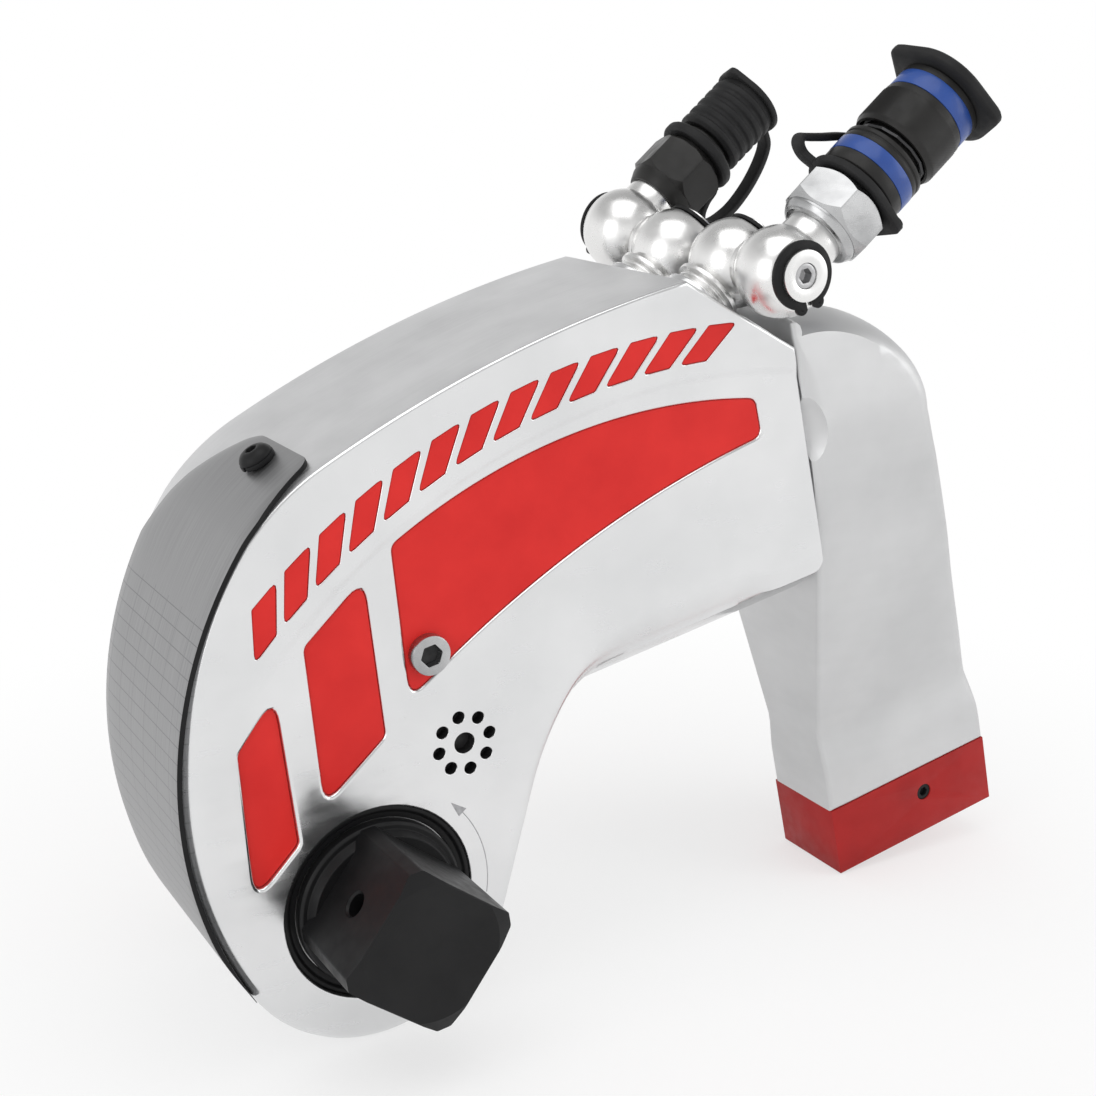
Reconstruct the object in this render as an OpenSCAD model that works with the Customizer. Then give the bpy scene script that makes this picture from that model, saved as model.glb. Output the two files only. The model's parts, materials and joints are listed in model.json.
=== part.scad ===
// Hydraulic torque wrench, millimetres.
// Everything is drawn in the tool's own axes: X along the cylinder toward the reaction arm,
// Y along the drive (the square points to -Y), Z up, origin on the drive axis.
// stand() then tips the whole tool so that it rests on its round head and on the foot.

/* [Body] */
// Width of the body across its two side faces
body_w = 72; // [66:0.5:80]
// Radius of the round head about the drive axis
head_r = 44; // [43:0.5:46]
// Centre of the long arc of the back, along X
flank_x = 74.5; // [72:0.5:77]
// Centre of the long arc of the back, up
flank_z = 27; // [25:0.5:29]
// Radius of the long arc of the top
top_r = 400; // [380:5:430]
// Where the top is highest, along X
top_x = 128; // [124:1:132]
// Height of the top above the drive axis
top_z = 146.5; // [145:0.5:149]
// Radius of the arch under the body
arch_r = 90; // [86:1:94]
// Centre of the arch, along X
arch_x = 135.8; // [134:0.2:138]
// Centre of the arch, up
arch_z = -29.7; // [-31:0.1:-28]
// End face of the body, where the reaction arm seats
end_x = 169.5; // [168:0.5:173]
// Height of the sloped shoulder at the end face
shoulder_z = 116; // [114:0.5:118]
// Slope of the shoulder
shoulder_slope = 42; // [40:0.5:44]
// How far the band along the top of each side stands proud
band_h = 0.9; // [0.4:0.1:1.2]
// Radius of the band's lower edge
band_r = 200; // [196:0.5:203]
// Depth of the side pockets
pocket_depth = 2.4; // [1.5:0.1:3]
// Thickness of the enamel in the pockets
enamel_t = 0.8; // [0.4:0.1:1.2]

/* [Cylinder] */
// Height of the cylinder axis above the drive axis
barrel_z = 72; // [71:0.5:73]
// Outer radius of the barrel
barrel_r = 44; // [42:0.5:46]
// Radius of the cylinder bore
bore_r = 25; // [23:0.5:26]
// Left end of the bore
bore_x = 86; // [84:0.5:88]
// Radius of the piston rod
rod_r = 11; // [9:0.5:11.5]
// Length of the piston
piston_l = 22; // [18:0.5:24]
// Tip radius of the spline on the rear boss
spline_r = 32.5; // [31.5:0.5:33]
// Length of the spline
spline_l = 30; // [24:1:31]
// Number of spline teeth
spline_n = 24; // [18:1:30]

/* [Drive] */
// Square drive across its flats (1 1/2 inch)
square_af = 38.1; // [36:0.1:38.1]
// How far the square stands out of the body
square_l = 34.7; // [30:0.1:40]
// Flats on the long edges of the square
square_edge = 3; // [2.6:0.1:4]
// Turn of the square about its axis as it stands
square_turn = 41.2; // [0:0.1:90]
// Radius of the hole for the socket's retaining pin
lock_hole_r = 3.4; // [2.5:0.1:4]
// Outer radius of the bushes
bush_r = 29.2; // [28.5:0.1:30]
// Radius of the ratchet's hub
hub_r = 25.4; // [25.3:0.05:25.6]
// Number of ratchet teeth
teeth = 72; // [72:12:84]
// Tip radius of the ratchet
ratchet_r = 33; // [32:0.2:33.4]
// Depth of the ratchet teeth
tooth_h = 2; // [1.6:0.1:2.2]
// Swing of the drive lever, a whole number of teeth
swing = 30; // [20:5:30]

/* [Arm] */
// Width of the arm across the spline
arm_w = 72; // [70:0.5:74]
// Width of the arm above the foot
shank_w = 32.8; // [28:0.2:36]
// Length of the foot along X
foot_l = 69; // [60:0.5:75]
// Height of the foot pad
foot_h = 25.1; // [20:0.5:30]
// Drop of the foot's underside below the drive axis
foot_drop = 81.4; // [76:0.2:88]

/* [Swivels] */
// Ball centres, along X
ball_x = 164.7; // [163:0.1:166]
// Ball centres, up
ball_z = 141.6; // [141:0.1:144]
// Posts off the middle, each side
post_y = 16.65; // [16:0.05:18]
// Spacing of an inner and an outer ball
link = 24.35; // [24:0.05:25]
// Radius of the balls
ball_r = 13.8; // [13.4:0.1:13.8]
// Lean of the posts and couplers from the tool's Z
lean = 62; // [60:0.5:64]
// Turn of the rear outer ball about its post
rear_turn = 15; // [5:1:20]

/* [Fits] */
// Radial running fit of journals
run_fit = 0.05; // [0.02:0.01:0.1]
// Gap between pieces that move past each other
gap = 0.4; // [0.3:0.05:0.5]

/* [Hidden] */
$fn = 64;
far = 300;
half_w = body_w / 2;

// Body outline: the back arc is tangent to the head. The neck runs along head and arch and
// dips a hair into both, so that it crosses them cleanly.
flank_d = norm([flank_x, flank_z]);
flank_r = flank_d + head_r;
flank_dir = [-flank_x, -flank_z] / flank_d;
top_c = [top_x, top_z - top_r];
arch_d = norm([arch_x, arch_z]);
neck_a = atan2(arch_z, arch_x) - acos((head_r + arch_r) / arch_d);
neck_in = 0.02;
neck_low = (head_r - neck_in) * [cos(neck_a), sin(neck_a)];
neck_high = [arch_x, arch_z] - (arch_r - neck_in) * [cos(neck_a), sin(neck_a)];
shoulder_rise = 90;
band_c = [104.8, -80.8];
barrel_x = 68;

// Standing pose: a line from the foot's inner edge touches the round head.
arm_x = end_x + 0.3;
tilt = atan2(foot_drop, arm_x) - asin(head_r / norm([arm_x, foot_drop]));

// Inside of the head
wall_in = half_w - 14.6;
bush_in = band_h + 0.6;
cavity_r = ratchet_r + 3.5;
lever_room = ratchet_r + 0.5;
plate_t = 8.3;
plate_y = wall_in - 0.5;
core_y = plate_y - plate_t - gap;
crank_r = 2 * barrel_z / (1 + cos(swing / 2));
crank_pin_r = 7.5;
pin_x = crank_r * sin(swing / 2);
stroke = 2 * pin_x;
eye_r = 13;
boss_r = 12.5;
hub_y = half_w - 3;
collar_r = hub_r - 0.2;
shank_r = 19;
pitch = 360 / teeth;
pawl_lift = tooth_h + gap;
pawl_angle = 25;

// Cylinder
plug_x = bore_x + stroke + piston_l + 10;
boss_end = end_x + spline_l;
piston_x = plug_x - 4 - piston_l;
gland_x = 58;
gland_r = 16;

// Swivels
journal_r = 7.6;
clip_flat = 9.4;
mate_flat = link / 2 - 0.6;
post_flat = 11;
post_seat = 16;
post_end = 30;
clip_t = 1.1;

// Places on the body
cover_t = 1.6;
cover_screw_x = 7;
cover_screw_y = -9.5;
side_screw = [32.2, 67.5];
dial = [36.6, 36.6];
tenon = [44, 20, 14];
foot_top = foot_h - foot_drop;
arm_top = barrel_z + 53;
arm_crease = arm_top - 6.5;
arm_round = 44;
arm_round_x = arm_x + 2.9;
foot_screw = [209.9, foot_h - foot_drop - 10];

// Placing helpers
module stand() rotate([0, -tilt, 0]) children();
module slab(y0, y1) translate([0, y1, 0]) rotate([90, 0, 0]) linear_extrude(y1 - y0) children();
module rod_y(r, y0, y1) translate([0, y0, 0]) rotate([-90, 0, 0]) cylinder(r = r, h = y1 - y0);
module rod_x(r, x0, x1) translate([x0, 0, barrel_z]) rotate([0, 90, 0]) cylinder(r = r, h = x1 - x0);
module tube(ro, ri, h) difference() {
    cylinder(r = ro, h = h);
    translate([0, 0, -1]) cylinder(r = ri, h = h + 2);
}
module both_sides() {
    children();
    mirror([0, 1, 0]) children();
}
module crank_frame() rotate([0, swing / 2, 0]) children();
module post_frame(side) translate([ball_x, side * post_y, ball_z]) rotate([0, lean, 0]) children();
module rear_turned() post_frame(1) rotate([0, 0, rear_turn]) mirror([0, 1, 0]) children();
module front_axis() post_frame(-1) translate([0, -link, 0]) children();
module rear_axis() post_frame(1) rotate([0, 0, rear_turn]) translate([0, link, 0]) children();

// Shapes that repeat
function polar(r, a) = [r * cos(a), r * sin(a)];
function ratchet_points(grow) = [for (i = [0 : teeth - 1], k = [0, 1])
    polar(ratchet_r - tooth_h * (1 - k) + grow, (i + 0.3 * k) * pitch)];
function spline_points(grow) = [for (i = [0 : spline_n - 1], k = [0 : 3])
    polar(spline_r - (k < 2 ? 0 : 2) + grow, (i + [-0.2, 0.2, 0.3, 0.7][k]) * 360 / spline_n)];
function coil_ring(c, wire, a, rise) = [for (j = [0 : 5])
    [(c + wire * cos(60 * j)) * cos(a), (c + wire * cos(60 * j)) * sin(a), rise + wire * sin(60 * j)]];

// Coil spring: c is the mean radius, its ends lie at 0 and h.
module coil(c, wire, h, turns) {
    steps = 14 * turns;
    rise = (h - 2 * wire) / steps;
    pts = [for (i = [0 : steps]) each coil_ring(c, wire, i * 360 / 14, wire + i * rise)];
    sides = [for (i = [0 : steps - 1], j = [0 : 5])
        [6 * i + j, 6 * i + (j + 1) % 6, 6 * i + 6 + (j + 1) % 6, 6 * i + 6 + j]];
    polyhedron(pts, concat([[5, 4, 3, 2, 1, 0]], sides, [[for (j = [0 : 5]) 6 * steps + j]]));
}

// Snap ring with two eared ends, gap toward +X
module clip_2d(r) {
    difference() {
        circle(r + 2.6);
        circle(r - 0.6);
        translate([0, -1.2]) square([r + 4, 2.4]);
    }
    for (s = [-1, 1]) difference() {
        translate([r + 1.6, s * 3]) circle(2);
        translate([r + 1.6, s * 3]) circle(0.7);
        translate([0, -1.2]) square([r + 4, 2.4]);
    }
}

// Flat strap along a list of points, as hulls of short flat rods lying along Y
module strap(points, w, t) for (i = [0 : len(points) - 2]) hull() for (p = [points[i], points[i + 1]])
    translate(p) rotate([90, 0, 0]) cylinder(d = t, h = w, center = true, $fn = 10);

// Side view of the body without the barrel: the flank arc bounds it only left of its centre.
module body_2d() difference() {
    union() {
        circle(head_r);
        intersection() {
            translate([flank_x, flank_z]) {
                circle(flank_r);
                square(far);
            }
            translate(top_c) circle(top_r);
            polygon([[0, 0], neck_low, neck_high, [end_x, neck_high[1]], [end_x, shoulder_z],
                [end_x - shoulder_rise, shoulder_z + shoulder_rise * tan(shoulder_slope)],
                [-far / 2, far / 2], [-far / 2, 0], 2 * head_r * flank_dir]);
        }
    }
    translate([arch_x, arch_z]) circle(arch_r);
}

// Room for the lever and the rod's eye
module cavity_2d() {
    circle(cavity_r);
    intersection() {
        circle(crank_r + boss_r + 2.8);
        translate([-lever_room, 0]) square([2 * lever_room, far]);
    }
}

// The three slanted pockets of a side, their corners rounded
module pockets_2d() offset(r = 3, $fn = 32) offset(delta = -3) {
    difference() {
        intersection() {
            translate([95, -69]) circle(183, $fn = 360);
            polygon([[23, 53], [29.5, far], [149, far], [153.5, 90]]);
        }
        translate([175.8, -235.7]) circle(329, $fn = 360);
    }
    polygon([[19.2, 95.5], [14.2, 48.5], [-8.2, 36], [-2.2, 83]]);
    polygon([[-13.6, 73.5], [-18.2, 28.2], [-34.4, 17.5], [-27.8, 61]]);
}

module housing() color("gainsboro") stand() difference() {
    union() {
        slab(-half_w, half_w) body_2d();
        intersection() {
            rod_x(barrel_r, barrel_x, end_x);
            translate([0, -half_w, 0]) cube([far, body_w, far]);
        }
        translate([end_x - 1, 0, barrel_z]) rotate([0, 90, 0])
            linear_extrude(spline_l + 1) rotate(90) polygon(spline_points(0));
        for (s = [-1, 1]) post_frame(s) translate([0, 0, -post_end - 2])
            cylinder(r = 12, h = post_end + 4 - post_seat);
    }
    slab(-wall_in, wall_in) cavity_2d();
    translate([-far / 2, -wall_in, 22]) cube([far / 2 - 30, 2 * wall_in, 54]);
    rod_y(bush_r, -far, far);
    rod_x(gland_r, 20, bore_x);
    rod_x(bore_r, bore_x, boss_end + 1);
    slab(-core_y - gap, core_y + gap) rotate(pawl_angle) translate([30, -9.4]) square([18, 18.8]);
    rotate([0, 90 - pawl_angle, 0]) cylinder(r = 5.4, h = 58);
    both_sides() slab(-half_w - 1, band_h - half_w) translate(band_c) circle(band_r);
    both_sides() slab(-half_w - 1, pocket_depth - half_w) pockets_2d();
    slab(-half_w - 1, 5 - half_w) dial_2d();
    both_sides() translate([side_screw[0], 0, side_screw[1]]) rod_y(4, -far, 12 - half_w);
    for (s = [-1, 1]) post_frame(s) {
        translate([0, 0, -post_end]) cylinder(r = 8, h = post_end);
        translate([0, 0, -post_seat]) cylinder(r = 12.5, h = post_seat);
    }
    for (s = [-1, 1]) translate([142, s * post_y, barrel_z]) cylinder(r = 2.5, h = 56);
    tab_frame() translate([0, 0, -20]) cylinder(r = 3, h = far);
}

// Ring of small holes round a larger one, low on the drive side
module dial_2d() translate(dial) {
    circle(3.2);
    for (i = [0 : 7]) translate(polar(8.3, 45 * i)) circle(1.9);
}

// Plan of the back cover: it narrows to a tab that lies off the middle
module cover_plan_2d() offset(r = 4, $fn = 32) offset(delta = -4)
    polygon([[-far, -half_w], [-6, -half_w], [14.5, -30], [14.5, 11], [-8, 19], [-26, half_w],
        [-far, half_w]]);

module back_cover() color("darkgray") stand() difference() {
    intersection() {
        slab(-half_w, half_w) difference() {
            intersection() {
                translate([flank_x, flank_z]) circle(flank_r + cover_t);
                translate(top_c) circle(top_r + cover_t);
                polygon([[flank_x, flank_z], [15, far], [-far, far], [-far, -far / 3]]);
            }
            intersection() {
                translate([flank_x, flank_z]) circle(flank_r);
                translate(top_c) circle(top_r);
            }
        }
        translate([0, 0, -far]) linear_extrude(2 * far) cover_plan_2d();
    }
    tab_frame() translate([0, 0, -20]) cylinder(r = 3.2, h = far);
}

// Frame on the tab, its Z along the screw and square to the top's arc
module tab_frame() translate([top_c[0], cover_screw_y, top_c[1]])
    rotate([0, asin((cover_screw_x - top_x) / top_r), 0]) translate([0, 0, top_r + cover_t]) children();

module cover_screw() color("black") stand() tab_frame() difference() {
    union() {
        translate([0, 0, 1.3]) cylinder(r1 = 5, r2 = 3.4, h = 2.9);
        translate([0, 0, -17]) cylinder(r = 2.8, h = 19);
    }
    translate([0, 0, 2.4]) cylinder(r = 1.8, h = 3, $fn = 6);
}

module cover_washer() color("dimgray") stand() tab_frame() difference() {
    tube(5.2, 2.9, 1.3);
    rotate(200) translate([0, -0.4, -1]) cube([8, 0.8, 4]);
}

module side_inlays() color("crimson") stand() both_sides()
    slab(pocket_depth - half_w - enamel_t, pocket_depth - half_w) difference() {
        offset(delta = -0.15) pockets_2d();
        translate(side_screw) circle(6.3);
    }

module side_screws() color("silver") stand() both_sides()
    translate([side_screw[0], pocket_depth - half_w, side_screw[1]]) rotate([90, 0, 0]) difference() {
        union() {
            cylinder(r = 6, h = 4);
            translate([0, 0, -9]) cylinder(r = 4, h = 10);
        }
        translate([0, 0, 1]) cylinder(r = 3.4, h = 4, $fn = 6);
    }

module drive_bushes() color("black") stand() both_sides() difference() {
    rod_y(bush_r, bush_in - half_w, -wall_in);
    rod_y(hub_r + run_fit, -far, far);
}

module rod_gland() color("goldenrod") stand() difference() {
    rod_x(gland_r, gland_x, bore_x);
    rod_x(rod_r + run_fit, 0, far);
    rod_x(rod_r + 3, bore_x - 8, bore_x - 3);
}

module rod_seal() color("darkgreen") stand() difference() {
    rod_x(rod_r + 3, bore_x - 8, bore_x - 3);
    rod_x(rod_r + run_fit, 0, far);
}

module end_plug() color("slategray") stand() difference() {
    rod_x(bore_r, plug_x, boss_end - 2);
    translate([plug_x + 12, 0, 0]) seal_ring(bore_r + 1, bore_r - 3, 4);
    for (s = [-1, 1]) translate([0, 12 * s, 0]) rod_x(3, boss_end - 10, far);
}

module seal_ring(ro, ri, w) translate([0, 0, barrel_z]) rotate([0, 90, 0]) tube(ro, ri, w);

module end_plug_seal() color("black") stand() translate([plug_x + 12, 0, 0])
    seal_ring(bore_r, bore_r - 3, 4);

module swivel_posts() color("lightgray") stand() for (s = [-1, 1]) post_frame(s) difference() {
    union() {
        translate([0, 0, 1 - post_end]) cylinder(r = 8, h = post_end - 1 - post_seat);
        translate([0, 0, -post_seat]) cylinder(r = 11, h = 2.4);
        translate([0, 0, 2.4 - post_seat]) cylinder(r = 9.6, h = post_seat - post_flat - 2.4 - gap);
        translate([0, 0, -post_seat]) cylinder(r = journal_r, h = post_seat + clip_flat + 3);
    }
    translate([0, 0, clip_flat + gap]) tube(journal_r + 1, journal_r - 0.6, clip_t);
    translate([0, 0, -post_end]) cylinder(r = 2.5, h = post_end);
}

module post_clips() color("black") stand() for (s = [-1, 1]) post_frame(s)
    translate([0, 0, clip_flat + gap]) rotate(-40 * s) linear_extrude(clip_t) clip_2d(journal_r);

// Pawl in side view along +X: shoulder block, nose, and teeth cut by the lifted ratchet outline
module pawl_2d() difference() {
    union() {
        translate([36.5, -9]) square([9.5, 18]);
        translate([30, -4.6]) square([8, 9.2]);
    }
    polygon(ratchet_points(pawl_lift));
}

module reaction_pawl() color("dimgray") stand() slab(-core_y, core_y) rotate(pawl_angle) pawl_2d();

module reaction_pawl_spring() color("silver") stand() rotate([0, 90 - pawl_angle, 0])
    translate([0, 0, 46]) coil(4, 0.7, 12, 4);

module ratchet_wheel() color("dimgray") stand() difference() {
    union() {
        slab(-core_y, core_y) polygon(ratchet_points(0));
        rod_y(hub_r, -hub_y, hub_y);
    }
    slab(-far, far) spline_shank_2d(0.1);
}

module spline_shank_2d(grow) rotate(square_turn) {
    circle(shank_r - 1.5 + grow);
    for (i = [0 : 5]) rotate(60 * i) translate([0, -3 - grow]) square([shank_r + grow, 6 + 2 * grow]);
}

module square_2d() intersection() {
    square(square_af, center = true);
    rotate(45) square(square_af * sqrt(2) - square_edge * sqrt(2), center = true);
}

module square_drive() color("black") stand() difference() {
    union() {
        intersection() {
            slab(-half_w - square_l, -hub_y) rotate(square_turn) square_2d();
            translate([0, -half_w - square_l, 0]) rotate([-90, 0, 0])
                cylinder(r1 = collar_r - 3.4, r2 = collar_r + 90, h = 60);
        }
        rod_y(collar_r, -half_w - 1.4, -hub_y);
        slab(-hub_y, hub_y - 0.4) spline_shank_2d(0);
    }
    translate([0, -half_w - square_l / 2, 0]) rotate([0, -square_turn, 0])
        cylinder(r = lock_hole_r, h = 60, center = true);
    rod_y(8, hub_y - 22, far);
}

module drive_retainer() color("black") stand() difference() {
    union() {
        rod_y(24, hub_y, hub_y + 7);
        rod_y(22.6, hub_y + 6, hub_y + 8.4);
    }
    rod_y(6 + run_fit, 0, far);
    for (i = [0 : 23]) rotate([0, 15 * i, 0]) translate([24.6, 0, 0]) rod_y(1.2, hub_y + 1.4, far);
}

module retainer_button() color("darkred") stand() {
    rod_y(6, hub_y - 4, hub_y + 11.4);
    rod_y(7.6, hub_y - 4, hub_y - gap);
}

module retainer_spring() color("silver") stand() translate([0, hub_y - 22, 0]) rotate([-90, 0, 0])
    coil(5.4, 0.7, 18, 5);

module crank_2d() difference() {
    union() {
        circle(ratchet_r + 0.5);
        translate([0, crank_r]) circle(boss_r);
        polygon([[-31, 12], [31, 12], [boss_r - 0.3, crank_r + 2], [0.3 - boss_r, crank_r + 2]]);
    }
    circle(hub_r + run_fit);
    translate([0, crank_r]) circle(crank_pin_r);
    for (s = [-1, 1]) translate([5.5 * s, 42]) circle(2.4);
}

module crank_plates() color("slategray") stand() crank_frame() both_sides()
    slab(-plate_y, plate_t - plate_y) crank_2d();

module crank_pin() color("silver") stand() crank_frame() translate([0, 0, crank_r])
    rod_y(crank_pin_r, -plate_y, plate_y);

module pawl_pins() color("silver") stand() crank_frame() for (s = [-1, 1]) translate([5.5 * s, 0, 42])
    rod_y(2.4, -plate_y, plate_y);

module drive_pawl() color("dimgray") stand() crank_frame() slab(-core_y, core_y) difference() {
    rotate(90) pawl_2d();
    for (s = [-1, 1], dz = [0, 1]) translate([5.5 * s, 42 + dz * tooth_h]) circle(2.4 + gap);
    for (s = [-1, 1]) translate([5.5 * s - 2.4 - gap, 42]) square([4.8 + 2 * gap, tooth_h]);
}

module piston() color("silver") stand() difference() {
    rod_x(bore_r - run_fit, piston_x, piston_x + piston_l);
    rod_x(8, 0, far);
    translate([piston_x + 8, 0, 0]) seal_ring(bore_r + 1, bore_r - 4, 6);
    rod_x(15, piston_x + piston_l - 8, far);
}

module piston_seal() color("darkgreen") stand() translate([piston_x + 8, 0, 0])
    seal_ring(bore_r - run_fit, bore_r - 4, 6);

module piston_nut() color("gray") stand() difference() {
    translate([piston_x + piston_l - 8, 0, barrel_z]) rotate([0, 90, 0]) cylinder(r = 13.5, h = 7, $fn = 6);
    rod_x(8, 0, far);
}

// Rod with a round eye; the eye's short upright slot lets the pin rise along its arc
module piston_rod() color("silver") stand() {
    rod_x(8, piston_x - 1, piston_x + piston_l - 1);
    difference() {
        union() {
            rod_x(rod_r, pin_x, piston_x);
            translate([pin_x, 0, barrel_z]) rod_y(eye_r, -core_y, core_y);
        }
        slab(-far, far) translate([pin_x, 0]) eye_slot_2d();
    }
}

module eye_slot_2d() {
    low = crank_r * cos(swing / 2) - 0.2;
    high = crank_r + 0.2;
    for (z = [low, high]) translate([0, z]) circle(crank_pin_r + 0.25);
    translate([-crank_pin_r - 0.25, low]) square([2 * crank_pin_r + 0.5, high - low]);
}

// Arm: side view and front view, each swept through and intersected
module arm_side_2d() {
    polygon([[arm_x, foot_top], [arm_x, arm_top], [arm_round_x, arm_top],
        [arm_round_x + arm_round, arm_top - arm_round], [217.8, 68], [221.2, 52], [225, 34], [228.2, 14],
        [233.3, -12], [237.3, -35], [arm_x + foot_l, -44], [arm_x + foot_l, foot_top]]);
    intersection() {
        translate([arm_round_x, arm_top - arm_round]) circle(arm_round);
        translate([arm_round_x, arm_top - arm_round]) square(far);
    }
}

module arm_front_2d() {
    hw = arm_w / 2;
    sw = shank_w / 2;
    half = [[sw, foot_top], [sw, -42], [sw - 1.9, -29], [hw, 66], [hw + 2, 88], [hw, 113],
        [hw - 1, arm_crease], [hw - 14, arm_top + 1]];
    polygon(concat(half, [for (i = [len(half) - 1 : -1 : 0]) [-half[i][0], half[i][1]]]));
}

module reaction_arm() color("gainsboro") stand() difference() {
    union() {
        intersection() {
            slab(-far, far) arm_side_2d();
            translate([arm_x, 0, 0]) rotate([90, 0, 90]) linear_extrude(far) arm_front_2d();
        }
        translate([arm_x + foot_l / 2 - tenon[0] / 2, -tenon[1] / 2, foot_top - tenon[2]])
            cube([tenon[0], tenon[1], tenon[2] + 1]);
    }
    translate([0, 0, barrel_z]) rotate([0, 90, 0]) linear_extrude(boss_end + 1.5) rotate(90)
        polygon(spline_points(0.2));
    both_sides() translate([arm_x, -arm_w / 2, 40]) rotate([0, 0, -14]) translate([-10, -20, 0])
        cube([40, 20, 100]);
}

module reaction_foot() color("firebrick") stand() difference() {
    translate([arm_x, -shank_w / 2, -foot_drop]) cube([foot_l, shank_w, foot_h]);
    translate([arm_x + foot_l / 2 - tenon[0] / 2, -tenon[1] / 2, foot_top - tenon[2]])
        cube([tenon[0], tenon[1], tenon[2] + 1]);
    translate([foot_screw[0], 0, foot_screw[1]]) rod_y(3, -far, far);
}

module foot_screws() color("black") stand() both_sides() translate([foot_screw[0], 0, foot_screw[1]])
    difference() {
        rod_y(3, 0.6 - shank_w / 2, -tenon[1] / 2);
        translate([0, -shank_w / 2, 0]) rotate([-90, 0, 0]) cylinder(r = 1.7, h = 3, $fn = 6);
    }

// Inner ball with its cross spigot toward -Y
module swivel() difference() {
    union() {
        intersection() {
            sphere(ball_r);
            translate([-far, -mate_flat, -post_flat]) cube([2 * far, far, post_flat + clip_flat]);
        }
        rod_y(8.8, -link / 2 - 0.2, -9);
        rod_y(journal_r, -link - clip_flat - 3, -9);
    }
    translate([0, 0, -far]) cylinder(r = journal_r + run_fit, h = 2 * far);
    translate([0, -link - clip_flat - gap, 0]) rotate([90, 0, 0])
        tube(journal_r + 1, journal_r - 0.6, clip_t);
    rod_y(3.8, -far, -link);
}

module spigot_clip() translate([0, -link - clip_flat - gap, 0]) rotate([90, 0, 0]) rotate(-50)
    linear_extrude(clip_t) clip_2d(journal_r);

module spigot_plug() difference() {
    rod_y(3.8, -link - clip_flat - 2.6, -link);
    translate([0, -link - clip_flat - 3, 0]) rotate([-90, 0, 0]) cylinder(r = 2.3, h = 4, $fn = 6);
}

// Outer ball: bored along Y, its neck along +Z; the mating flat faces the side given
module outer_ball(side) difference() {
    union() {
        intersection() {
            sphere(ball_r);
            translate([-far, side > 0 ? -clip_flat : -mate_flat, -far])
                cube([2 * far, mate_flat + clip_flat, 2 * far]);
        }
        translate([0, 0, 9]) cylinder(r = 9.3, h = 7.5);
    }
    rod_y(journal_r + run_fit, -far, far);
}

module front_swivel() color("lightgray") stand() post_frame(-1) swivel();
module rear_swivel() color("lightgray") stand() rear_turned() swivel();
module front_clip() color("black") stand() post_frame(-1) spigot_clip();
module rear_clip() color("black") stand() rear_turned() spigot_clip();
module front_plug() color("dimgray") stand() post_frame(-1) spigot_plug();
module rear_plug() color("dimgray") stand() rear_turned() spigot_plug();
module front_outer_ball() color("lightgray") stand() front_axis() outer_ball(1);
module rear_outer_ball() color("lightgray") stand() rear_axis() outer_ball(-1);

// Female coupler on the front ball, along the local Z
module front_adapter() color("silver") stand() front_axis() difference() {
    union() {
        translate([0, 0, 15.2]) cylinder(r1 = 11.4, r2 = 12.6, h = 3);
        translate([0, 0, 18]) cylinder(r = 15.4, h = 12.4, $fn = 6);
        translate([0, 0, 30]) cylinder(r = 10, h = 8);
    }
    translate([0, 0, 15]) cylinder(r = 9.3, h = 1.5);
}

module coupler_body() color("black") stand() front_axis() difference() {
    union() {
        translate([0, 0, 34]) cylinder(r = 13.8, h = 13.4);
        translate([0, 0, 47]) cylinder(r = 10.4, h = 26.5);
    }
    translate([0, 0, 33]) cylinder(r = 10, h = 5);
    translate([0, 0, 46]) cylinder(r = 7, h = 30);
    translate([0, 0, 38.5]) tube(15, 13.2, 5);
}

module body_band() color("royalblue") stand() front_axis() translate([0, 0, 38.5]) tube(13.9, 13.2, 5);

module coupler_sleeve() color("black") stand() front_axis() difference() {
    union() {
        translate([0, 0, 51]) cylinder(r = 14.3, h = 15);
        translate([0, 0, 66]) cylinder(r = 13.8, h = 7.8);
    }
    translate([0, 0, 50]) cylinder(r = 10.4 + run_fit, h = 30);
    translate([0, 0, 50]) cylinder(r = 12.6, h = 12);
    translate([0, 0, 66.2]) tube(15, 13.2, 5.6);
}

module sleeve_band() color("royalblue") stand() front_axis() translate([0, 0, 66.2]) tube(13.9, 13.2, 5.6);

module sleeve_spring() color("silver") stand() front_axis() translate([0, 0, 47.4]) coil(11.6, 0.7, 14.6, 4);

module front_tether_ring() color("black") stand() front_axis() translate([0, 0, 31])
    linear_extrude(2.4) rotate(-50) difference() {
        union() {
            circle(15.2);
            translate([15.2, 0]) circle(3.4);
        }
        circle(10.2);
        translate([15.8, 0]) circle(1.4);
    }

front_strap_route = [[-16.8, 1, 32.2], [-20.5, 3, 33.2], [-24, 6, 36.5], [-24.5, 8, 40.5], [-21, 11, 44.5],
    [-14.5, 14.5, 50], [-10, 17, 57], [-9.5, 17.3, 66], [-9, 16.5, 72.6]];
module front_strap() color("black") stand() front_axis() strap(front_strap_route, 4.4, 2.4);

module front_dust_cap() color("black") stand() front_axis() {
    translate([0, 0, 74.2]) cylinder(r = 17.4, h = 3.4);
    translate([0, 0, 77]) cylinder(r1 = 17.4, r2 = 15.8, h = 1.8);
    translate([0, 0, 60]) cylinder(r = 6.6, h = 15);
    for (a = [-65, 150]) rotate(a) translate([16.6, 0, 74.2]) cylinder(r = 4, h = 3.4);
}

// Male nipple on the rear ball, along the local Z
module rear_nipple() color("black") stand() rear_axis() difference() {
    union() {
        translate([0, 0, 14.4]) cylinder(r1 = 10.2, r2 = 12, h = 4.8);
        translate([0, 0, 19]) cylinder(r = 13.8, h = 14, $fn = 6);
        translate([0, 0, 33]) cylinder(r = 10, h = 7);
        translate([0, 0, 40]) cylinder(r = 8.6, h = 16);
        translate([0, 0, 56]) cylinder(r1 = 8.6, r2 = 6.4, h = 4);
    }
    translate([0, 0, 14]) cylinder(r = 9.3, h = 2.5);
    translate([0, 0, 30]) cylinder(r = 3.5, h = 40);
}

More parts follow.
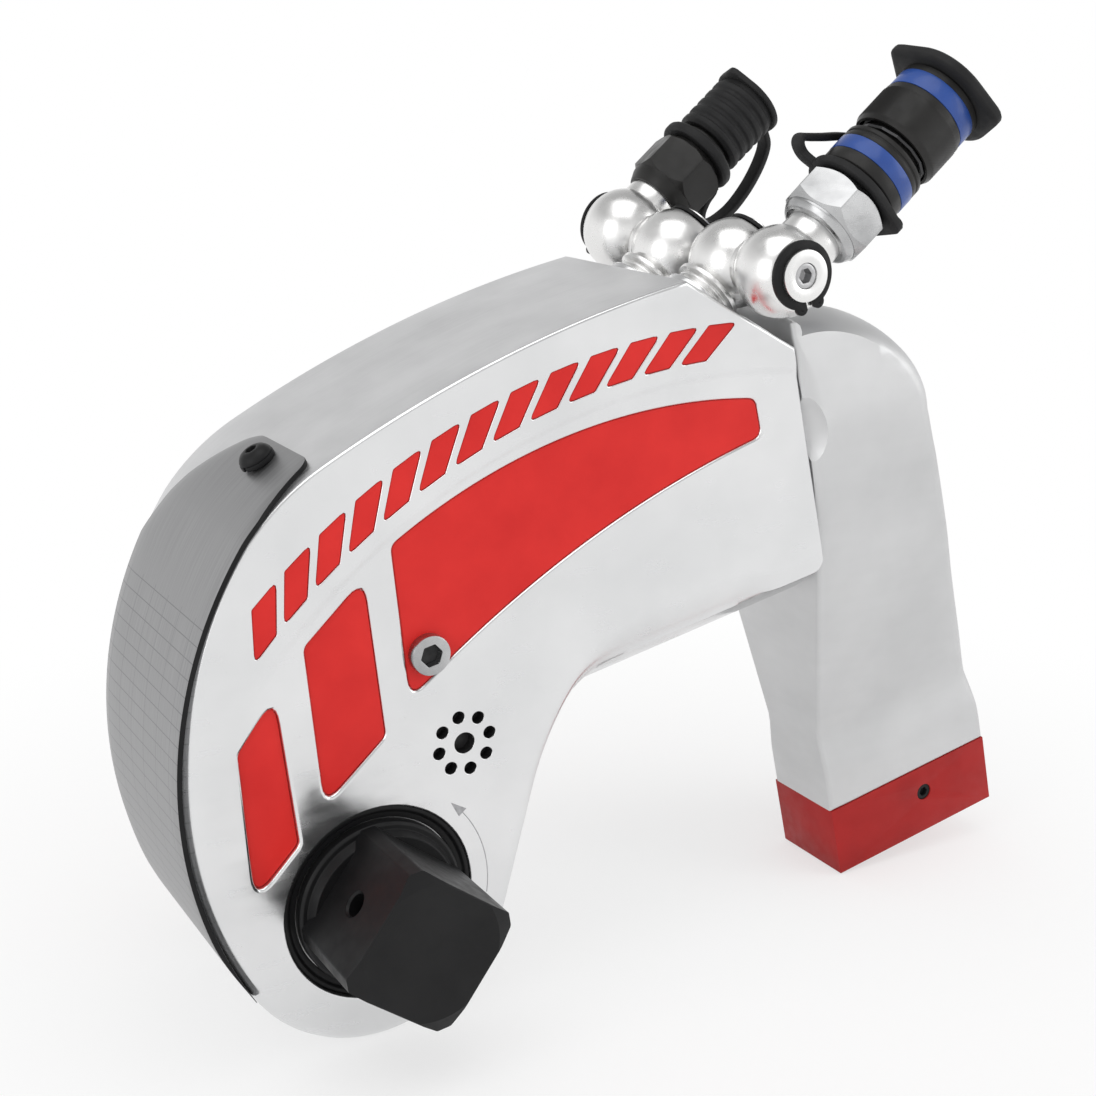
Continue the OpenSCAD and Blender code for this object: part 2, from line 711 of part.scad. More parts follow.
module rear_tether_ring() color("black") stand() rear_axis() translate([0, 0, 34.6]) tube(13.6, 10, 3.6);

rear_strap_route = [[15.1, 0, 36], [16.4, 0, 31], [18.4, 0, 27.4], [20.6, 0, 27], [22.4, 0, 30.5],
    [22.8, 0, 35], [22, 0, 42], [19.4, 0, 50.5], [17, 0, 58], [16.2, 0, 62.6]];
module rear_strap() color("black") stand() rear_axis() strap(rear_strap_route, 5, 2.4);

module rear_dust_cap() color("black") stand() rear_axis() difference() {
    union() {
        translate([0, 0, 41]) cylinder(r = 11.2, h = 22);
        for (i = [0 : 3]) translate([0, 0, 42.4 + 4.4 * i]) cylinder(r = 11.7, h = 2.8);
        translate([0, 0, 61.6]) cylinder(r = 12.4, h = 2.2);
        for (a = [0, 180]) rotate(a) translate([12, 0, 61.6]) cylinder(r = 2.6, h = 2.2);
    }
    translate([0, 0, 40]) cylinder(r = 8.7, h = 20.4);
}

housing();
back_cover();
cover_screw();
cover_washer();
side_inlays();
side_screws();
drive_bushes();
rod_gland();
rod_seal();
end_plug();
end_plug_seal();
swivel_posts();
post_clips();
reaction_pawl();
reaction_pawl_spring();
ratchet_wheel();
square_drive();
drive_retainer();
retainer_button();
retainer_spring();
crank_plates();
crank_pin();
pawl_pins();
drive_pawl();
piston();
piston_rod();
piston_nut();
piston_seal();
reaction_arm();
reaction_foot();
foot_screws();
front_swivel();
front_clip();
front_plug();
front_outer_ball();
front_adapter();
coupler_body();
body_band();
coupler_sleeve();
sleeve_band();
sleeve_spring();
front_tether_ring();
front_strap();
front_dust_cap();
rear_swivel();
rear_clip();
rear_plug();
rear_outer_ball();
rear_nipple();
rear_tether_ring();
rear_strap();
rear_dust_cap();
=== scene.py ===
import json
from math import acos, asin, atan2, cos, degrees, hypot, pi, radians, sin, sqrt, tan

import bmesh
import bpy
from mathutils import Matrix, Vector
from mathutils.geometry import convex_hull_2d, delaunay_2d_cdt
from mathutils.geometry import intersect_line_sphere_2d, intersect_sphere_sphere_2d

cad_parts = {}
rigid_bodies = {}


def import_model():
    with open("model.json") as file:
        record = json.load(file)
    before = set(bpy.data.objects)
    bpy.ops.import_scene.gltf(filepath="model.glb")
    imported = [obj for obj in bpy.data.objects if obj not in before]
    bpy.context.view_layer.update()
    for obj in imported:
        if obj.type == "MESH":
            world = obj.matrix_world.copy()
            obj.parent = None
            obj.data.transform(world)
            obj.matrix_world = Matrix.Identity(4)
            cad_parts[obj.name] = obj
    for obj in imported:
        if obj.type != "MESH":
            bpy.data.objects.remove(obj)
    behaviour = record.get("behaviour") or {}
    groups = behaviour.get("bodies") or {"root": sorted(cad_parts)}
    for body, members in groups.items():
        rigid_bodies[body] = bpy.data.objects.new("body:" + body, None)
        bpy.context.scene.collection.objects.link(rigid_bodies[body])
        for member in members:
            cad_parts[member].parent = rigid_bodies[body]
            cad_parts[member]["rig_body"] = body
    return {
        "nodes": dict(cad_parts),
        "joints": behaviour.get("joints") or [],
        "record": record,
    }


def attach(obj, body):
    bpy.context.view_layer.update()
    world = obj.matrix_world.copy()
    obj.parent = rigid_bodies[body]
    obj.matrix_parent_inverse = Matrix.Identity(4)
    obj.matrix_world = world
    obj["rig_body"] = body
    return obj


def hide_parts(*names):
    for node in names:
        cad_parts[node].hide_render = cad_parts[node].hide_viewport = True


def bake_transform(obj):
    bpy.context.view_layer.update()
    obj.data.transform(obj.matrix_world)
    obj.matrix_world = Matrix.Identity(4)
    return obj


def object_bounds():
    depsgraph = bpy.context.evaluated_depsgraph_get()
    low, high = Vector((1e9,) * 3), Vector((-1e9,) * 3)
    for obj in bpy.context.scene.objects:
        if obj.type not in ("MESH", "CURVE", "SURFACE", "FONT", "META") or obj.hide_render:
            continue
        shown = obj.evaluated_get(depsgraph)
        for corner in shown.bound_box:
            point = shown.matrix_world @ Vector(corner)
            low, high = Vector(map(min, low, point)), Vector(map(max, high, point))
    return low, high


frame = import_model()
cad_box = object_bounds()
scene = bpy.context.scene


# Studio: a pale paper floor under the round head and the foot, soft panels and a white room with
# a greyer ceiling. The paper runs out to plain white, and keeps the shadow near the object.
# The camera stands where the photograph was taken, in front of the drive side.
middle = Vector((0.08, 0, 0.08))
floor_z = cad_box[0][2]


def wired(tree, kind, inputs=(), **settings):
    """A new shader node, each input given a constant or another node's output; returns its outputs."""
    made = tree.nodes.new("ShaderNode" + kind)
    for name, value in settings.items():
        setattr(made, name, value)
    for socket, value in dict(inputs).items():
        if isinstance(value, bpy.types.NodeSocket):
            tree.links.new(value, made.inputs[socket])
        else:
            made.inputs[socket].default_value = value
    return made.outputs


paper = bpy.data.materials.new("pale_paper")
paper.use_nodes = True
sheet = paper.node_tree
paper_shader = sheet.nodes["Principled BSDF"]
paper_shader.inputs["Base Color"].default_value = (0.96, 0.96, 0.96, 1)
paper_shader.inputs["Roughness"].default_value = 0.9
paper_where = wired(sheet, "TexCoord")["Object"]
paper_off = wired(sheet, "VectorMath", {0: paper_where, 1: (middle.x, middle.y, floor_z)},
                  operation="DISTANCE")
paper_fade = wired(sheet, "MapRange", {"Value": paper_off["Value"], "From Min": 0.08, "From Max": 0.38,
                                       "To Min": 0.58}, interpolation_type="SMOOTHSTEP")
rays = wired(sheet, "LightPath")
seen = wired(sheet, "Math", {0: rays["Is Camera Ray"], 1: rays["Is Glossy Ray"]}, operation="MAXIMUM")
seen = wired(sheet, "Math", {0: seen[0], 1: rays["Is Transmission Ray"]}, operation="MAXIMUM")
paper_share = wired(sheet, "Math", {0: paper_fade["Result"], 1: seen[0]}, operation="MULTIPLY")
paper_mix = wired(sheet, "MixShader", {"Fac": paper_share[0], 1: paper_shader.outputs[0],
                                       2: wired(sheet, "Emission")[0]})
sheet.links.new(paper_mix[0], sheet.nodes["Material Output"].inputs["Surface"])


def meshed(name, bm):
    """A mesh of what a bmesh holds; the bmesh is used up."""
    mesh = bpy.data.meshes.new(name)
    bm.to_mesh(mesh)
    bm.free()
    return mesh


paper_bm = bmesh.new()
bmesh.ops.create_circle(paper_bm, cap_ends=True, segments=96, radius=6.0)
bmesh.ops.translate(paper_bm, verts=paper_bm.verts, vec=(0, 0, floor_z - 0.0005))
floor = bpy.data.objects.new("floor", meshed("floor", paper_bm))
floor.data.materials.append(paper)
scene.collection.objects.link(floor)


def soft_panel(name, place, aim, size, power):
    """One light panel that faces a point."""
    lamp = bpy.data.lights.new(name, "AREA")
    lamp.shape = "RECTANGLE"
    lamp.size, lamp.size_y = size
    lamp.energy = power
    panel = bpy.data.objects.new(name, lamp)
    panel.location = place
    panel.rotation_euler = (Vector(aim) - Vector(place)).to_track_quat("-Z", "Y").to_euler()
    scene.collection.objects.link(panel)


soft_panel("top_panel", (-0.15, -0.25, 1.25), middle, (1.1, 1.1), 5.4)
soft_panel("left_panel", (-1.15, -0.35, 0.45), middle, (0.7, 0.9), 3.2)
soft_panel("right_panel", (1.0, -0.75, 0.55), middle, (0.6, 0.9), 2.4)

room = bpy.data.worlds.new("white_room")
room.use_nodes = True
room_height = wired(room.node_tree, "SeparateXYZ", {0: wired(room.node_tree, "TexCoord")["Generated"]})["Z"]
room_ramp = room.node_tree.nodes.new("ShaderNodeValToRGB")
room_ramp.color_ramp.elements[0].color = (1, 1, 1, 1)
room_ramp.color_ramp.elements[1].color = (0.44, 0.44, 0.44, 1)
room_ramp.color_ramp.elements.new(0.22).color = (1, 1, 1, 1)
room_ramp.color_ramp.elements.new(0.6).color = (0.57, 0.57, 0.57, 1)
room.node_tree.links.new(room_height, room_ramp.inputs["Fac"])
room.node_tree.links.new(room_ramp.outputs["Color"], room.node_tree.nodes["Background"].inputs["Color"])
scene.world = room
scene.view_settings.view_transform = "Standard"

lens = bpy.data.cameras.new("camera")
lens.sensor_width = 36
lens.lens = 58.68
lens.clip_start = 0.01
camera = bpy.data.objects.new("camera", lens)
camera.location = (-0.1825, -0.4680, 0.2401)
camera.rotation_euler = (radians(73.97), radians(0.36), radians(-28.96))
scene.collection.objects.link(camera)
scene.camera = camera


# Body casting: an aluminium casting, polished on its sides and left ground along its back.
# It is drawn in the tool's own axes in millimetres and then tipped onto its head and foot.
slide = next(j["axis"] for j in frame["joints"] if j["name"] == "arm_slide")
stood = Matrix.Rotation(-atan2(slide[2], slide[0]), 4, "Y") @ Matrix.Scale(0.001, 4)
slot_of = {part["node"]: part["material_slot"] for part in frame["record"]["subparts"]}


def piece(name, bm, finishes, node, place=stood, crease=32, even=False, replaced=True):
    """Turns a bmesh into a finished object that rides with a node and replaces it."""
    bmesh.ops.transform(bm, matrix=place, verts=bm.verts)
    mesh = meshed(name, bm)
    for finish in finishes:
        mesh.materials.append(finish)
    mesh.polygons.foreach_set("use_smooth", [True] * len(mesh.polygons))
    mesh.set_sharp_from_angle(angle=radians(crease))
    made = bpy.data.objects.new(name, mesh)
    scene.collection.objects.link(made)
    if even:
        made.modifiers.new("even_shading", "WEIGHTED_NORMAL").keep_sharp = True
    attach(made, frame["nodes"][node]["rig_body"])
    if replaced:
        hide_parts(node)
    return made


def grain(finish, scale, detail=4, stretch=(1, 1, 1)):
    """Noise over the piece in Object coordinates, drawn out along some axes."""
    where = wired(finish.node_tree, "TexCoord")["Object"]
    drawn = wired(finish.node_tree, "Mapping", {"Vector": where, "Scale": stretch})["Vector"]
    return wired(finish.node_tree, "TexNoise", {"Vector": drawn, "Scale": scale, "Detail": detail})["Fac"]


def spread(finish, socket, low, high, value):
    """Lets a 0 to 1 value run a shader input between two numbers or colours."""
    tree = finish.node_tree
    target = tree.nodes["Principled BSDF"].inputs[socket]
    if isinstance(low, tuple):
        ramp = tree.nodes.new("ShaderNodeValToRGB")
        for element, place, colour in zip(ramp.color_ramp.elements, (0.3, 0.7), (low, high)):
            element.position = place
            element.color = (*colour, 1)
        tree.links.new(value, ramp.inputs["Fac"])
        tree.links.new(ramp.outputs["Color"], target)
        return
    ends = {"From Min": 0.3, "From Max": 0.7, "To Min": low, "To Max": high}
    tree.links.new(wired(tree, "MapRange", {"Value": value, **ends})["Result"], target)


def relief(finish, depth, strength, value):
    """Raises the surface by a 0 to 1 value, depth in metres."""
    tree = finish.node_tree
    bump = wired(tree, "Bump", {"Height": value, "Distance": depth, "Strength": strength})
    tree.links.new(bump["Normal"], tree.nodes["Principled BSDF"].inputs["Normal"])


def surface(name, metallic, colour, rough, bump=None, specular=0.5, coat=0):
    """A node material: colour and rough are plain or [low, high, *grain], bump [depth, strength, *grain]."""
    made = bpy.data.materials.new(name)
    made.use_nodes = True
    inputs = made.node_tree.nodes["Principled BSDF"].inputs
    for socket, value in (("Metallic", metallic), ("Specular IOR Level", specular), ("Coat Weight", coat)):
        inputs[socket].default_value = value
    for socket, value in (("Base Color", colour), ("Roughness", rough)):
        if isinstance(value, list):
            low, high, *noise = value
            spread(made, socket, low, high, grain(made, *noise))
        else:
            inputs[socket].default_value = value
    if bump:
        relief(made, *bump[:2], grain(made, *bump[2:]))
    return made


polished = surface("polished_aluminium", 1.0, [(0.7, 0.705, 0.71), (0.78, 0.782, 0.786), 28],
                   [0.17, 0.29, 60, 4, (1, 1, 4)], [0.00002, 0.25, 900, 2, (1, 1, 0.12)])
ground = surface("ground_aluminium", 1.0, [(0.67, 0.672, 0.678), (0.78, 0.782, 0.788), 40],
                 [0.36, 0.5, 30, 4, (1, 60, 1)], [0.00004, 0.5, 60, 3, (1, 60, 1)])
# Painted shade: a near black finish on the walls and floor of the dial holes and on the floor of the screw
# sockets, standing in for the shade inside them.
painted_shade = surface("painted_hole_shade", 0.5, [(0.02, 0.02, 0.021), (0.05, 0.05, 0.051), 300], 0.55)


def at(centre, r, turn):
    """A point on a circle, turn in degrees."""
    return Vector(centre) + r * Vector((cos(radians(turn)), sin(radians(turn))))


def arc(centre, r, start, end, count):
    """Points along a circle, both ends included."""
    return [at(centre, r, start + (end - start) * i / count) for i in range(count + 1)]


def line(a, b, count=1):
    """Points along a straight line, both ends included."""
    return [Vector(a).lerp(Vector(b), i / count) for i in range(count + 1)]


def turn_of(point, centre):
    """Direction of a point from a centre, in degrees."""
    return degrees(atan2(point[1] - centre[1], point[0] - centre[0]))


def rounded(paths, r, count=6):
    """Closed outline through paths that end where the next begins, its corners rounded."""
    done = []
    for before, path in zip(paths[-1:] + paths[:-1], paths):
        corner = Vector(path[0])
        back = (Vector(before[-2]) - corner).normalized()
        on = (Vector(path[1]) - corner).normalized()
        reach = r * tan((pi - back.angle(on)) / 2)
        start, end = corner + back * reach, corner + on * reach
        done += [start.lerp(corner, t).lerp(corner.lerp(end, t), t)
                 for t in (i / count for i in range(count + 1))]
        last = Vector(path[-1])
        done += [Vector(p) for p in path[1:-1] if (p - corner).length > reach and (p - last).length > reach]
    return done


def polygon(*corners):
    """Straight paths round a list of corners."""
    return [line(a, b) for a, b in zip(corners, corners[1:] + corners[:1])]


def grown(outline, d):
    """A closed counterclockwise outline moved outward by d."""
    moved = []
    for a, b, c in zip(outline[-1:] + outline[:-1], outline, outline[1:] + outline[:1]):
        first = Vector((b.y - a.y, a.x - b.x)).normalized()
        second = Vector((c.y - b.y, b.x - c.x)).normalized()
        both = (first + second).normalized()
        moved.append(b + both * d / max(0.4, both.dot(second)))
    return moved


def ring(bm, points):
    """A closed loop of edges through points."""
    verts = [bm.verts.new(p) for p in points]
    return [bm.edges.new(pair) for pair in zip(verts, verts[1:] + verts[:1])]


def skin(bm, rings, finish=0):
    """Walls between neighbouring loops of points, with as many points in each."""
    made = []
    loops = [ring(bm, points) for points in rings]
    for a, b in zip(loops, loops[1:]):
        made += bmesh.ops.bridge_loops(bm, edges=a + b)["faces"]
    for face in made:
        face.material_index = finish
    return made


def lid(bm, points, finish=0):
    """One flat face through points."""
    bm.faces.new([bm.verts.new(p) for p in points]).material_index = finish


def closed(bm, rings):
    """Walls between loops of points, with a lid on both ends."""
    skin(bm, rings)
    lid(bm, rings[0])
    lid(bm, rings[-1])


def smooth(t):
    """An even rise from 0 to 1."""
    t = min(max(t, 0), 1)
    return t * t * (3 - 2 * t)


def cross(a, b, centre, r):
    """The upper point where a line meets a circle."""
    return max((p for p in intersect_line_sphere_2d(Vector(a), Vector(b), centre, r, False) if p),
               key=lambda p: p.y)


half_w = 36
head_r = 44
flank_c = Vector((74.5, 27))
flank_r = flank_c.length + head_r
top_c, top_r = Vector((128, -253.5)), 400
arch_c, arch_r = Vector((135.8, -29.7)), 90
end_x, shoulder_z, shoulder_slope = 169.5, 116, 42
barrel_z, barrel_r = 72, 44
rim_r, top_rim, rim_z, rim_fade_z, rim_x, rim_fade_x = 5.2, 1.2, 105, 45, 152, 12
step_c, step_r, step_drop, step_soft, step_x, step_fade = Vector((104.8, -80.8)), 200, 0.9, 1.1, -26, 44
fillet, end_round, crest_run = 9, 4.5, 14

hip = turn_of((0, 0), flank_c) + 360
neck = turn_of(arch_c, (0, 0)) - degrees(acos((head_r + arch_r) / arch_c.length))
arch_from = arch_c.x - arch_r * cos(radians(neck))
crest = min(intersect_sphere_sphere_2d(flank_c, flank_r, top_c, top_r), key=lambda p: p.x)
uphill = (end_x - 90, shoulder_z + 90 * tan(radians(shoulder_slope)))
ridge = cross((end_x, shoulder_z), uphill, top_c, top_r)
crest_top = turn_of(crest, top_c) - degrees(crest_run / top_r)
crest_flank = turn_of(crest, flank_c) + degrees(crest_run / flank_r)


def over_crest(lift, t):
    """The rounded corner between the top and the flank, from 0 on the top to 1 on the flank."""
    start, end = at(top_c, top_r + lift, crest_top), at(flank_c, flank_r + lift, crest_flank)
    up = (at((0, 0), 1, crest_top) + at((0, 0), 1, crest_flank)).normalized()
    corner = crest + up * lift
    return start.lerp(corner, t).lerp(corner.lerp(end, t), t)


def underside(x, y):
    """Height of the belly: the arch and the round barrel, with a fillet between them."""
    arch = arch_c.y + sqrt(arch_r ** 2 - (x - arch_c.x) ** 2)
    barrel = barrel_z - sqrt(barrel_r ** 2 - y ** 2)
    near = max(fillet - abs(arch - barrel), 0) / fillet
    return min(arch, barrel) - near * near * fillet / 4


def rim(p):
    """Rounding of the edge of a side: broad round the head, small along the top and beside the arm."""
    broad = smooth((rim_z - p.y) / rim_fade_z) * smooth((rim_x - p.x) / rim_fade_x)
    return top_rim + (rim_r - top_rim) * broad


def body_outline(y):
    """Side view of the casting where it is y off the middle, counterclockwise from the hip."""
    belly = [arch_from + (end_x - end_round - arch_from) * (i / 38) ** 1.4 for i in range(39)]
    low = underside(end_x - end_round, y) + end_round
    return (arc((0, 0), head_r, hip - 360, neck, 48)
            + [Vector((x, underside(x, y))) for x in belly]
            + arc((end_x - end_round, low), end_round, -75, 0, 5)
            + line((end_x, low), (end_x, shoulder_z), 14)[1:]
            + line((end_x, shoulder_z), ridge, 10)[1:]
            + arc(top_c, top_r, turn_of(ridge, top_c), crest_top, 32)[1:]
            + [over_crest(0, i / 8) for i in range(1, 9)]
            + arc(flank_c, flank_r, crest_flank, hip, 42)[1:-1])


def side_level(p):
    """How far a side stands off the middle: the band along the top is proud of the rest."""
    below = smooth((step_r - (p - step_c).length + step_soft) / (2 * step_soft))
    return half_w - step_drop * below * smooth((p.x - step_x) / step_fade)


pocket_out, pocket_in = (Vector((95, -69)), 183), (Vector((175.8, -235.7)), 329)


def between_turns(centre, r, a, b, count):
    """Points along a circle from the direction of one point to that of another."""
    return arc(centre, r, turn_of(a, centre), turn_of(b, centre), count)


left_edge, right_edge = ((23.6, 53), (52, 300)), ((149, 300), (153.5, 90))
corner_a = cross(*left_edge, *pocket_out)
corner_b = cross(*right_edge, *pocket_out)
corner_c = cross(*right_edge, *pocket_in)
corner_d = cross(*left_edge, *pocket_in)
pocket_round, pocket_lip, pocket_floor, pocket_fill = 3.4, 1.1, half_w - 2.4, half_w - 1.55
pockets = [
    rounded([line(corner_a, corner_d), between_turns(*pocket_in, corner_d, corner_c, 40),
             line(corner_c, corner_b), between_turns(*pocket_out, corner_b, corner_a, 40)], pocket_round),
    rounded(polygon((19.2, 95.5), (-2.2, 83), (-8.2, 36), (14.2, 48.5)), pocket_round),
    rounded(polygon((-13.6, 73.5), (-27.8, 61), (-34.4, 17.5), (-18.2, 28.2)), pocket_round)]

bar_count, bar_from, bar_to = 13, 123.5, 80.6
bar_low, bar_high, bar_w, bar_lean = step_r + 5, step_r + 15.4, 1.35, 1.5
bar_round, bar_lip, bar_floor, bar_fill = 1, 0.35, half_w - 0.9, half_w - 0.3


def bar(i):
    """One slanted bar of the row along the band."""
    turn = bar_from + (bar_to - bar_from) * i / (bar_count - 1)
    corners = [at(step_c, r, turn + lean + w) for r, lean, w in (
        (bar_low, bar_lean, bar_w), (bar_low, bar_lean, -bar_w), (bar_high, -bar_lean, -bar_w),
        (bar_high, -bar_lean, bar_w))]
    return rounded(polygon(*corners), bar_round, 3)


bars = [bar(i) for i in range(bar_count)]
bush_r = 29.2
dial, dial_r, dial_mid_r, dial_hole_r = Vector((36.6, 36.6)), 8.3, 3.2, 1.9
dial_holes = [arc(dial, dial_mid_r, 0, 345, 23)]
dial_holes += [arc(at(dial, dial_r, 45 * i), dial_hole_r, 0, 342, 19) for i in range(8)]


def sunk(outline, lip, floor):
    """Rings that round the lip of a hole and run down to a floor, floor in mm off the middle."""
    rings = [[(p, side_level(p)) for p in grown(outline, lip)]]
    for i in range(1, 5):
        t = pi / 2 * i / 4
        rings.append([(p, side_level(p) - lip * (1 - cos(t))) for p in grown(outline, lip * (1 - sin(t)))])
    rings.append([(p, floor) for p in outline])
    return rings


def inside(p, outline):
    """Whether a point lies in a closed outline."""
    hit = False
    for a, b in zip(outline, outline[1:] + outline[:1]):
        if (a.y > p.y) != (b.y > p.y) and p.x < (b.x - a.x) * (p.y - a.y) / (b.y - a.y) + a.x:
            hit = not hit
    return hit


def pierced_face(bm, edge, holes, samples, level, side):
    """A side face with holes in it, raised to its level point by point."""
    points, faces = [], []
    for loop in [edge] + holes:
        faces.append(list(range(len(points), len(points) + len(loop))))
        points += loop
    shores = [grown(hole, 1) for hole in holes]
    points += [p for p in samples
               if inside(p, grown(edge, -1)) and not any(inside(p, shore) for shore in shores)]
    flat, _, triangles, _, _, owners = delaunay_2d_cdt(points, [], faces, 1, 1e-5)
    verts = [bm.verts.new((p.x, side * level(p), p.y)) for p in flat]
    for triangle, owner in zip(triangles, owners):
        if owner == [0]:
            bm.faces.new([verts[i] for i in triangle])
    bmesh.ops.delete(bm, geom=[v for v in verts if not v.link_faces], context="VERTS")


def ease(bm, width, sharp, clamp=False):
    """Rounds the edges that are sharper than an angle."""
    edges = [e for e in bm.edges if e.is_manifold and e.calc_face_angle() > radians(sharp)]
    bmesh.ops.bevel(bm, geom=edges, offset=width, affect="EDGES", segments=2, profile=0.5, material=-1,
                    clamp_overlap=clamp)


def soften(bm, width, sharp=30):
    """Closes a part, points its faces outward and rounds its sharp edges."""
    bmesh.ops.remove_doubles(bm, verts=bm.verts, dist=0.0005)
    bmesh.ops.recalc_face_normals(bm, faces=bm.faces)
    if width:
        ease(bm, width, sharp)
    return bm


def body_rim(bend):
    """The rounded edge of a side, part of the way round its bend, as (point, level) pairs."""
    drawn = body_outline(half_w - rim_r + rim_r * sin(bend))
    drawn = [(rim(p), p.lerp(q, rim(p) * (1 - cos(bend)))) for p, q in zip(drawn, grown(drawn, -1))]
    return [(p, side_level(p) - r * (1 - sin(bend))) for r, p in drawn]


def on_side(pairs, side):
    """Points in space from (point, level) pairs of a side view."""
    return [(p.x, side * level, p.y) for p, level in pairs]


casting = bmesh.new()
rim_bends = [body_rim(pi / 2 * i / 6) for i in range(1, 7)]
body_rings = [on_side(pairs, -1) for pairs in rim_bends[::-1]]
for i in range(-10, 11):
    off = i / 10 * (half_w - rim_r)
    body_rings.append([(p.x, off, p.y) for p in body_outline(off)])
body_rings += [on_side(pairs, 1) for pairs in rim_bends]
body_walls = skin(casting, body_rings)
for face in body_walls:
    middle_of = face.calc_center_median()
    spot = Vector((middle_of.x, middle_of.z))
    on_back = (spot - flank_c).length > flank_r - 2 or (spot - top_c).length > top_r - 2
    face.material_index = int(on_back and abs(middle_of.y) < half_w - rim(spot) and spot.y > -12)
step_rows = [at(step_c, step_r + d, 62 + 0.9 * i) for i in range(92) for d in (-1.6, -0.8, 0, 0.8, 1.6)]
open_rows = [Vector((-40 + 7 * i, -36 + 7 * j)) for i in range(30) for j in range(24)]
side_rim = [p for p, _ in rim_bends[-1]]
for side in (-1, 1):
    cuts = [sunk(outline, pocket_lip, pocket_floor) for outline in pockets]
    cuts += [sunk(outline, bar_lip, bar_floor) for outline in bars]
    cuts.append(sunk(arc((0, 0), bush_r, 0, 355, 71), 0.7, half_w - 14.6))
    plain_cuts = len(cuts)
    if side < 0:
        cuts += [sunk(outline, 0.25, half_w - 5) for outline in dial_holes]
    pierced_face(casting, side_rim, [[p for p, _ in cut[0]] for cut in cuts], step_rows + open_rows,
                 side_level, side)
    for i, cut in enumerate(cuts):
        rings = [on_side(loop, side) for loop in cut]
        skin(casting, rings[:-1])
        # The dial holes take the near black painted shade on their walls and floor.
        finish = 0 if i < plain_cuts else 2
        skin(casting, rings[-2:], finish)
        lid(casting, rings[-1], finish)
soften(casting, 0)

spline_r, spline_l, spline_n = 32.5, 30, 24


def spline(grow):
    """End view of the splined boss, about its own axis."""
    pitch = 360 / spline_n
    return [at((0, 0), spline_r + grow - drop, (i + share) * pitch)
            for i in range(spline_n) for share, drop in ((-0.2, 0), (0.2, 0), (0.3, 2), (0.7, 2))]


def turned(profile, width=0.3, steps=72, six=None):
    """A profile of (radius, height) points spun about Z, closed where it is hollow.

    Points at the radius six get six sides.
    """
    bm = bmesh.new()
    verts = [bm.verts.new((r, 0, z)) for r, z in profile]
    hollow = verts[:1] if profile[0][0] and profile[-1][0] else []
    edges = [bm.edges.new(pair) for pair in zip(verts, verts[1:] + hollow)]
    bmesh.ops.spin(bm, geom=verts + edges, cent=(0, 0, 0), axis=(0, 0, 1), angle=2 * pi, steps=steps,
                   use_merge=True)
    for vert in bm.verts:
        if six and abs(vert.co.xy.length - six) < 0.001:
            off = turn_of(vert.co, (0, 0)) % 60 - 30
            vert.co.xy *= cos(pi / 6) / cos(radians(off))
    return soften(bm, width)


def add(whole, part, place=Matrix(), finish=0):
    """Puts a part into a piece."""
    for face in part.faces:
        face.material_index = finish
    part.transform(place)
    mesh = meshed("part", part)
    whole.from_mesh(mesh)
    bpy.data.meshes.remove(mesh)


boss = bmesh.new()
boss_end = end_x + spline_l
mouth_r = 25.2
mouth = [at((0, 0), mouth_r, turn_of(p, (0, 0))) for p in spline(0)]
boss_steps = ((end_x - 1, spline(0)), (boss_end - 1, spline(0)), (boss_end, spline(-1)), (boss_end, mouth),
              (boss_end - 12, mouth))
skin(boss, [[(x, p.x, barrel_z + p.y) for p in outline] for x, outline in boss_steps])
add(casting, soften(boss, 0))

post_x, post_y, post_z, post_lean = 164.7, 16.65, 141.6, 62


def post(side):
    """Frame of a swivel post: its origin is the inner ball's centre, its Z runs along the post."""
    return Matrix.Translation((post_x, post_y * side, post_z)) @ Matrix.Rotation(radians(post_lean), 4, "Y")


for side in (-1, 1):
    add(casting, turned([(0, -31), (14.5, -31), (12.4, -24), (11.6, -18), (11.6, -16.4), (8.2, -16.4),
                         (8.2, -27), (0, -27)], 0.7), post(side))
piece("body_casting", casting, [polished, ground, painted_shade], "housing", even=True)


# Red enamel: poured into the pockets of both sides and into the row of bars on the band,
# and cured with a slightly rounded edge.
enamel = surface("red_enamel", 0.0, [(0.62, 0.016, 0.014), (0.71, 0.024, 0.02), 55], [0.34, 0.46, 160],
                 [0.00002, 0.35, 1500, 2], specular=0.25)


def pour(bm, outline, low, high, side):
    """A plate of enamel between two levels, its upper edge rounded."""
    edge, gap = 0.35, 0.05
    rings = [[(p, off) for p in grown(outline, -gap)] for off in (low, high - edge)]
    rings += [[(p, high - edge * (1 - sin(t))) for p in grown(outline, -gap - edge * (1 - cos(t)))]
              for t in (pi / 6, pi / 3, pi / 2)]
    closed(bm, [on_side(loop, side) for loop in rings])


inlays = bmesh.new()
for side in (-1, 1):
    for outline in pockets:
        pour(inlays, outline, pocket_floor, pocket_fill, side)
    for outline in bars:
        pour(inlays, outline, bar_floor, bar_fill, side)
piece("enamel_inlays", soften(inlays, 0), [enamel], "side_inlays", even=True)


# Rotation mark: a fine arc with an arrow head, etched into the drive side beside the ring.
# It is a shallow grey line that lies flush in the polished face.
etched = surface("etched_line", 0.8, [(0.34, 0.34, 0.35), (0.48, 0.48, 0.49), 700], 0.5)
mark_r, mark_w, mark_from, mark_to, mark_head = 34.8, 0.3, -21, 27, 36
mark = bmesh.new()
mark_lines = [arc((0, 0), mark_r - mark_w / 2, mark_from, mark_to, 24),
              arc((0, 0), mark_r + mark_w / 2, mark_to, mark_from, 24)]
mark_tip = [at((0, 0), mark_r - 1.6, mark_to), at((0, 0), mark_r + 1.6, mark_to),
            at((0, 0), mark_r, mark_head)]
for outline in (mark_lines[0] + mark_lines[1], mark_tip):
    mark_rings = [[(p.x, -side_level(p) - lift, p.y) for p in outline] for lift in (-0.2, 0.02)]
    skin(mark, mark_rings)
    lid(mark, mark_rings[1])
piece("rotation_mark", soften(mark, 0), [etched], "housing", replaced=False)


